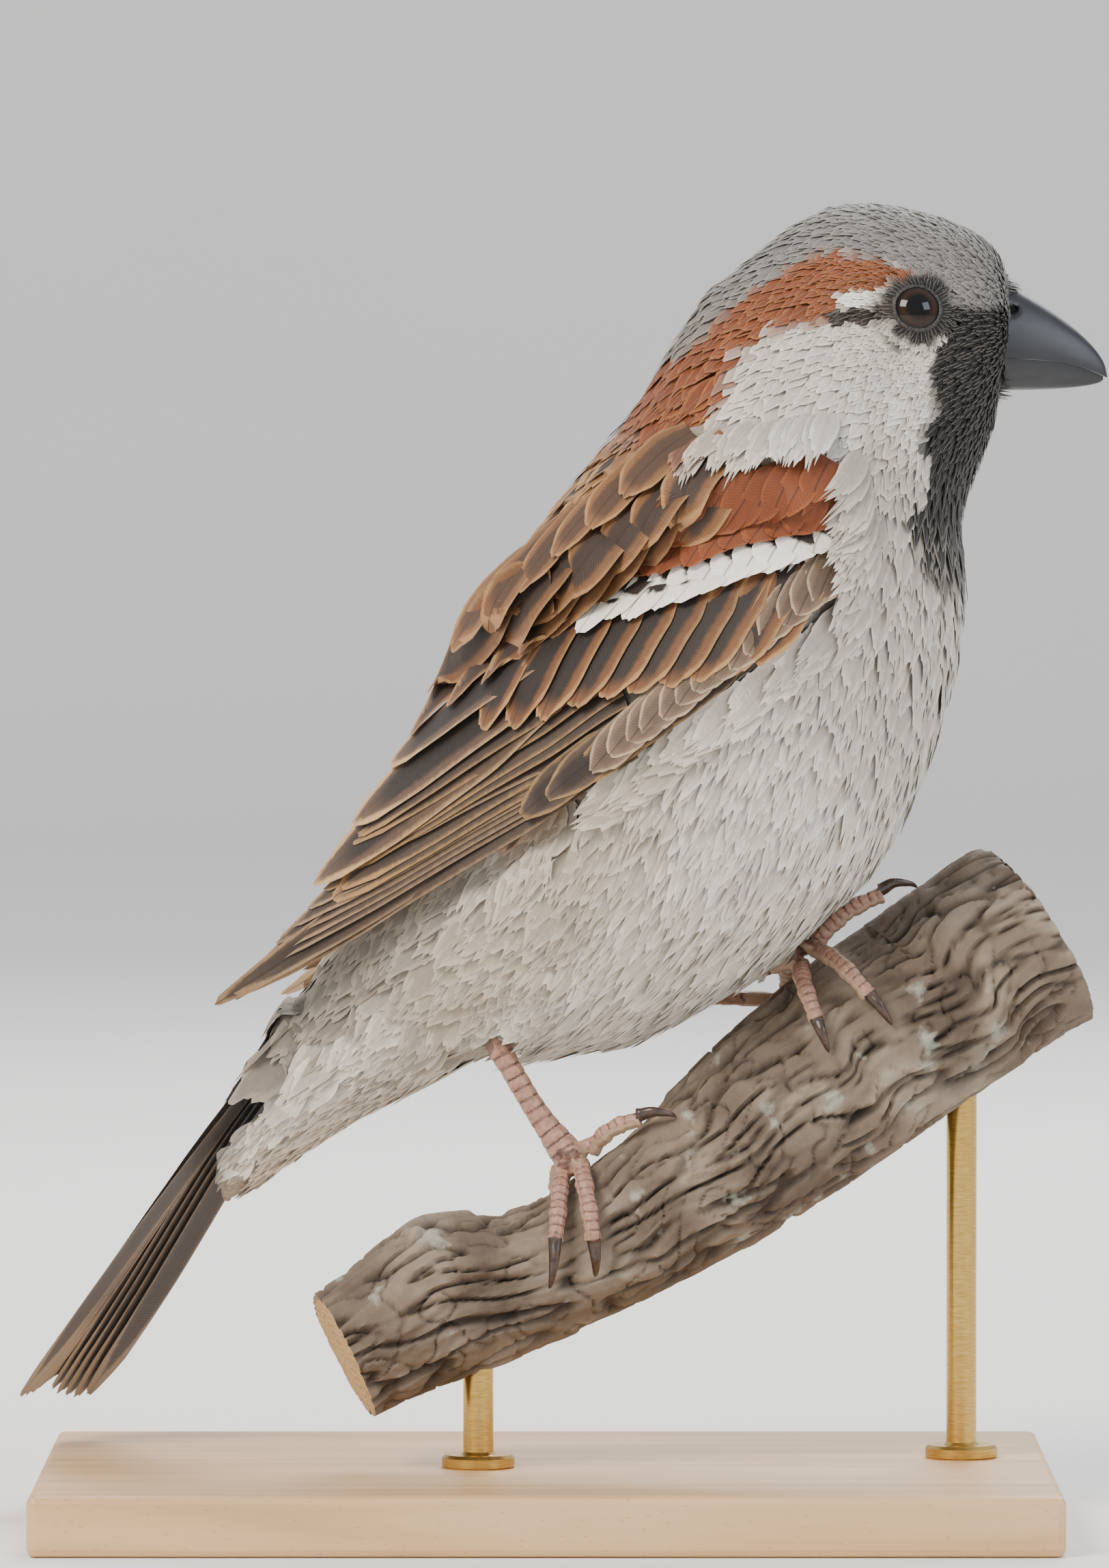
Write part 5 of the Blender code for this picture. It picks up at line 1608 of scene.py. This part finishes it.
# %% Build the claws
claw_finish, tree, shader = new_material("dark brown claw horn", Roughness=0.32, IOR=1.54)
spot = put(tree, "TexCoord").outputs["Object"]
grain = put(tree, "TexNoise", {"Vector": spot, "Scale": 1800.0, "Detail": 3.0})
tone = put(tree, "ValToRGB", [grain], ramp=[(0.3, "2a1e18"), (0.7, "4b382d")])
finish_with(tree, shader, tone, grain, 0.15, 0.03)

branch_points, branch_triangles = solid("perch_branch")
BRANCH_TREE = surface_tree(branch_points, branch_triangles)
CLAW_RINGS = 30
claw_radii = 0.68 * (1 - np.linspace(0, 1, CLAW_RINGS)) ** 0.62 + 0.03
for name in sorted(n for n in frame["nodes"] if n.startswith("claw")):
    toe_points, _ = solid(name.replace("claw", "toe"))
    middle = centre_line(*solid(name), 5)
    first, last = (length_of(toe_points - end).min() for end in (middle[0], middle[-1]))
    middle = middle if first < last else middle[::-1]
    base = middle[1] + 0.25 * (middle[0] - middle[1])
    tip = middle[-1]
    away = unit(tip - np.array(BRANCH_TREE.find_nearest(tip)[0]))  # the claw arches away from the bark
    reach = unit(tip - base)
    bend = [base - 0.5 * reach, base + away * 0.1, (base + tip) / 2 + away * 0.75, tip + away * 0.45]
    line = curve_through([*bend, tip + reach * 0.5 - away * 0.15], CLAW_RINGS)
    horn = mesh_of(name, *tube(line, claw_radii, squash=0.8), sharp=50)
    piece(name + "_horn", horn, claw_finish, "claw_horn", name)

# %% [markdown]
# ## The branch
#
# The branch is a rough piece of old wood, cut at both ends. Rays from its middle line find the solid's
# surface in every direction, and the found radii are smoothed, which gives a fine round grid in the same
# place. Bark is then carved into that grid: long ridges, cracks across them that part it into plates, and
# flat spots where a plate has fallen off. It is carved inwards only, so the toes still stand on the bark.

# %% Find the branch's middle line and its two cuts
RINGS, SIDES = 300, 170
TURN_IN = 12  # over so many rings the hoops turn to lie along the cut
RIGHT_END, LEFT_END = 45, -15  # beyond these places lie the branch's ends

right, left = branch_points[:, 0] > RIGHT_END, branch_points[:, 0] < LEFT_END
axis = unit(branch_points[right].mean(0) - branch_points[left].mean(0))
slices = centre_line(branch_points, branch_triangles, 14, axis)
dots = spread(branch_points, branch_triangles, 60000)
cuts = []
for way in (unit(slices[1] - slices[3]), unit(slices[-2] - slices[-4])):
    for _ in range(3):
        rim = dots[dots @ way > (dots @ way).max() - 0.5]
        flat_side = np.linalg.svd(rim - rim.mean(0), full_matrices=False)[2][2]
        way = flat_side * np.sign(flat_side @ way)
    cuts.append((rim.mean(0), way))
core = curve_through([cuts[0][0], *slices[2:-2], cuts[1][0]], RINGS)
ways = unit(np.gradient(core, axis=0))
fade = np.linspace(0, 1, TURN_IN)[:, None]
ways[:TURN_IN] = unit(ways[:TURN_IN] * fade - cuts[0][1] * (1 - fade))
ways[-TURN_IN:] = unit(ways[-TURN_IN:] * (1 - fade) + cuts[1][1] * fade)
over = unit(np.cross(unit(np.cross(ways, [0, 0, 1.0])), ways))
across = np.cross(ways, over)
turns = circle(SIDES)[None, :, None]
rays = np.cos(turns) * across[:, None] + np.sin(turns) * over[:, None]
print(f"the branch is {length_of(core[-1] - core[0]):.0f} mm long")

# %% Measure the branch's radius all round
OUTSIDE = 40  # from here the rays start
starts = core.copy()
starts[0] += 0.15 * ways[0]
starts[-1] -= 0.15 * ways[-1]
radius = np.full((RINGS, SIDES), np.nan)
for i, p in enumerate(starts):
    for j, ray in enumerate(rays[i]):
        hit = BRANCH_TREE.ray_cast(Vector(p + ray * OUTSIDE), Vector(-ray))
        radius[i, j] = OUTSIDE - hit[3] if hit[0] else np.nan
radius = np.where(np.isfinite(radius), radius, np.nanmedian(radius, axis=1, keepdims=True))
for _ in range(14):  # each radius moves to the mean of its neighbours
    ahead = np.concatenate([radius[1:], radius[-1:]])
    behind = np.concatenate([radius[:1], radius[:-1]])
    radius = (radius * 2 + np.roll(radius, 1, 1) + np.roll(radius, -1, 1) + ahead + behind) / 6
surface = core[:, None] + rays * radius[..., None]
print(f"and {np.median(radius):.1f} mm in radius")

# %% Carve the bark
along = (surface - core[0]) @ axis
toes, _ = joined([n for n in frame["nodes"] if n.startswith(("toe_", "claw_"))])
toe_tree = point_tree(toes)
near_toe = np.array([toe_tree.find(p)[2] for p in surface.reshape(-1, 3).tolist()]).reshape(RINGS, SIDES)


def bark_noise(length, width, seed):
    """Noise stretched along the branch, without a seam."""
    x, y = (turn[..., 0] * radius / width for turn in (np.cos(turns), np.sin(turns)))
    places = np.stack([along / length, x, y + seed * 9.3], axis=-1)
    return np.array([noise.noise(Vector(p)) for p in places.reshape(-1, 3)]).reshape(RINGS, SIDES)


wander = bark_noise(9, 5, 1)
ridge = np.clip(1 - np.abs(bark_noise(11, 1.9, 2) + wander * 0.25) * 4.2, -0.6, 1)
crack = ease(np.abs(bark_noise(3.4, 2.6, 3)), 0.0, 0.09)
fine = bark_noise(3.0, 0.7, 4)
plate = ease(bark_noise(14, 6, 5), 0.02, 0.1)
depth = 0.75 * ease(ridge, 0.25, 0.95) + 0.35 * (1 - crack) + 0.3 * plate + 0.18 * (fine + 0.3)
depth = np.clip(depth, 0, 1.6) * (0.25 + 0.75 * ease(near_toe, 0.8, 2.6))  # shallow under the toes
surface = surface - rays * depth[..., None]
print(f"the bark is carved up to {depth.max():.2f} mm deep")

# %% Close the two cuts with year rings
FACE_RINGS = 26
index = np.arange(RINGS * SIDES).reshape(RINGS, SIDES)
points, quads, caps = [surface.reshape(-1, 3)], [hoops(index, flip=True)], []
shares = np.linspace(1, 0.03, FACE_RINGS + 1)[1:]
dished = 0.05 + 0.06 * np.sin(shares * 42 + 0.6) + 0.12 * (1 - shares)
for end, (_, way) in zip((0, -1), cuts):
    rim = surface[end]
    centre = rim.mean(0)
    rings = centre + (rim - centre)[None] * shares[:, None, None] - way * dished[:, None, None]
    start = sum(len(part) for part in points)
    own = start + np.arange(FACE_RINGS * SIDES).reshape(FACE_RINGS, SIDES)
    face, lid = hoops(np.concatenate([index[end][None], own]), flip=True), lid_on(own[-1])
    points.append(rings.reshape(-1, 3))
    quads.append(face if end else face[:, ::-1])
    caps.append(lid[:, ::-1] if end else lid)
bark_mesh = mesh_of("branch", np.concatenate(points), np.concatenate(quads), np.concatenate(caps), sharp=55)
bark = np.clip(depth.reshape(-1, 1) / 1.3, 0, 1) * [1, 0, 0]  # red: how deep in a furrow
wood = np.repeat(shares, SIDES)[:, None] * [0, 1, 0] + [0, 0, 1]  # green: how far out; blue: cut wood
paint(bark_mesh, "bark", np.concatenate([bark, wood, wood]))
print("the two cuts add", 2 * len(wood), "points to the branch's", len(bark))

# %% [markdown]
# ## Bark and cut wood
#
# Old bark is dead cork, dry and without any gloss: grey where the weather reaches it, dark brown in its
# furrows, with pale green-grey spots of lichen. The cut ends show the year rings of the wood. One material
# serves both, because the mesh says which is where, so no seam can open between them.

# %% Finish the branch
bark_finish, tree, shader = new_material("weathered bark and cut wood", Roughness=0.85, IOR=1.45)
furrow, ring, cut = put(tree, "SeparateColor", [put(tree, "Attribute", attribute_name="bark")]).outputs
spot = put(tree, "TexCoord").outputs["Object"]
patch = put(tree, "TexNoise", {"Vector": spot, "Scale": 130.0, "Detail": 6.0})
tone = put(tree, "ValToRGB", [patch], ramp=[(0.32, "5d4f42"), (0.5, "7a6b5b"), (0.68, "988a79")])
tone = put(tree, "Mix", {0: furrow, 6: tone, 7: linear("2b211a")}, **COLOURS)
lichen = put(tree, "TexNoise", {"Vector": spot, "Scale": 260.0, "Detail": 8.0})
lichen = put(tree, "MapRange", (lichen, 0.62, 0.7))
tone = put(tree, "Mix", {0: lichen, 6: tone, 7: linear("98988a")}, **COLOURS)
years = put(tree, "Math", (patch, 6.0, put(tree, "Math", (ring, 85.0), **TIMES)), **TIMES_PLUS)
years = put(tree, "MapRange", (put(tree, "Math", [years], operation="SINE"), -1.0, 1.0))
wood = put(tree, "ValToRGB", [years], ramp=[(0.0, "a98a62"), (1.0, "c8ab80")])
crumbs = put(tree, "TexNoise", {"Vector": spot, "Scale": 1500.0, "Detail": 8.0})
finish_with(tree, shader, put(tree, "Mix", {0: cut, 6: tone, 7: wood}, **COLOURS), crumbs, 0.6, 0.25)
piece("branch", bark_mesh, bark_finish, "bark", "perch_branch")

# %% [markdown]
# ## The stand
#
# The base is a small board of oiled beech, so its grain runs along its length and shows short dark flecks.
# The board's solid is already as fine as it needs to be, and only gets the finish. The two brass rods and
# their round feet are turned again with more sides, because a few flat ones show on a shining rod. Brass is
# brushed here, so its gloss is broad, and fine lines run round the rods.

# %% Oil the board
beech, tree, shader = new_material("oiled beech", Roughness=0.42, IOR=1.48)
spot = put(tree, "TexCoord").outputs["Object"]
grain = put(tree, "Mapping", {0: spot, 3: (14.0, 190.0, 190.0)})
years = put(tree, "TexNoise", {"Vector": grain, "Scale": 1.0, "Detail": 5.0, "Distortion": 0.6})
tone = put(tree, "ValToRGB", [years], ramp=[(0.25, "b88f62"), (0.5, "cda677"), (0.75, "dab88c")])
flecks = put(tree, "Mapping", {0: spot, 3: (420.0, 2600.0, 2600.0)})
flecks = put(tree, "TexVoronoi", {"Vector": flecks, "Scale": 1.0})
flecks = put(tree, "MapRange", (flecks, 0.14, 0.05, 0.0, 0.55))
tone = put(tree, "Mix", {0: flecks, 6: tone, 7: linear("8a6038")}, **COLOURS)
finish_with(tree, shader, tone, years, 0.15, 0.1)
board = frame["nodes"]["stand_base"]
board.data.materials.clear()
board.data.materials.append(beech)
print("the board is", (box_mm("stand_base")[1] - box_mm("stand_base")[0]).round(1), "mm")

# %% Turn the brass rods
brass, tree, shader = new_material("brushed brass", Metallic=1.0, Roughness=0.28)
lines = put(tree, "Mapping", {0: put(tree, "TexCoord").outputs["Object"], 3: (900.0, 900.0, 9000.0)})
lines = put(tree, "TexNoise", {"Vector": lines, "Scale": 1.0, "Detail": 2.0})
tone = put(tree, "ValToRGB", [lines], ramp=[(0.3, "b8934c"), (0.7, "d2b066")])
finish_with(tree, shader, tone, lines, 0.12, 0.03)

ROUND_ROD = 64
board_top = box_mm("stand_base")[1][2]
for name in ("stand_rod_1", "stand_rod_2"):
    points, _ = solid(name)
    low, high = points.min(0), points.max(0)
    middle = (low + high) / 2
    foot = (high[0] - low[0]) / 2
    out = length_of((points - middle)[:, :2])
    rod = out[out < foot * 0.7].max()
    foot_top = points[out > foot * 0.9, 2].max()
    profile = [(rod, low[2]), (rod, board_top), (foot - 0.15, board_top), (foot, board_top + 0.15)]
    profile += [(foot, foot_top - 0.3), (foot - 0.3, foot_top), (rod + 0.25, foot_top)]
    profile += [(rod, foot_top + 0.25), (rod, high[2] - 0.1), (rod - 0.2, high[2])]
    faces = barrel(len(profile), ROUND_ROD)
    turned = mesh_of(name + "_turned", spun(profile, ROUND_ROD, middle), *faces, sharp=35)
    piece(name + "_turned", turned, brass, "stand_brass", name)
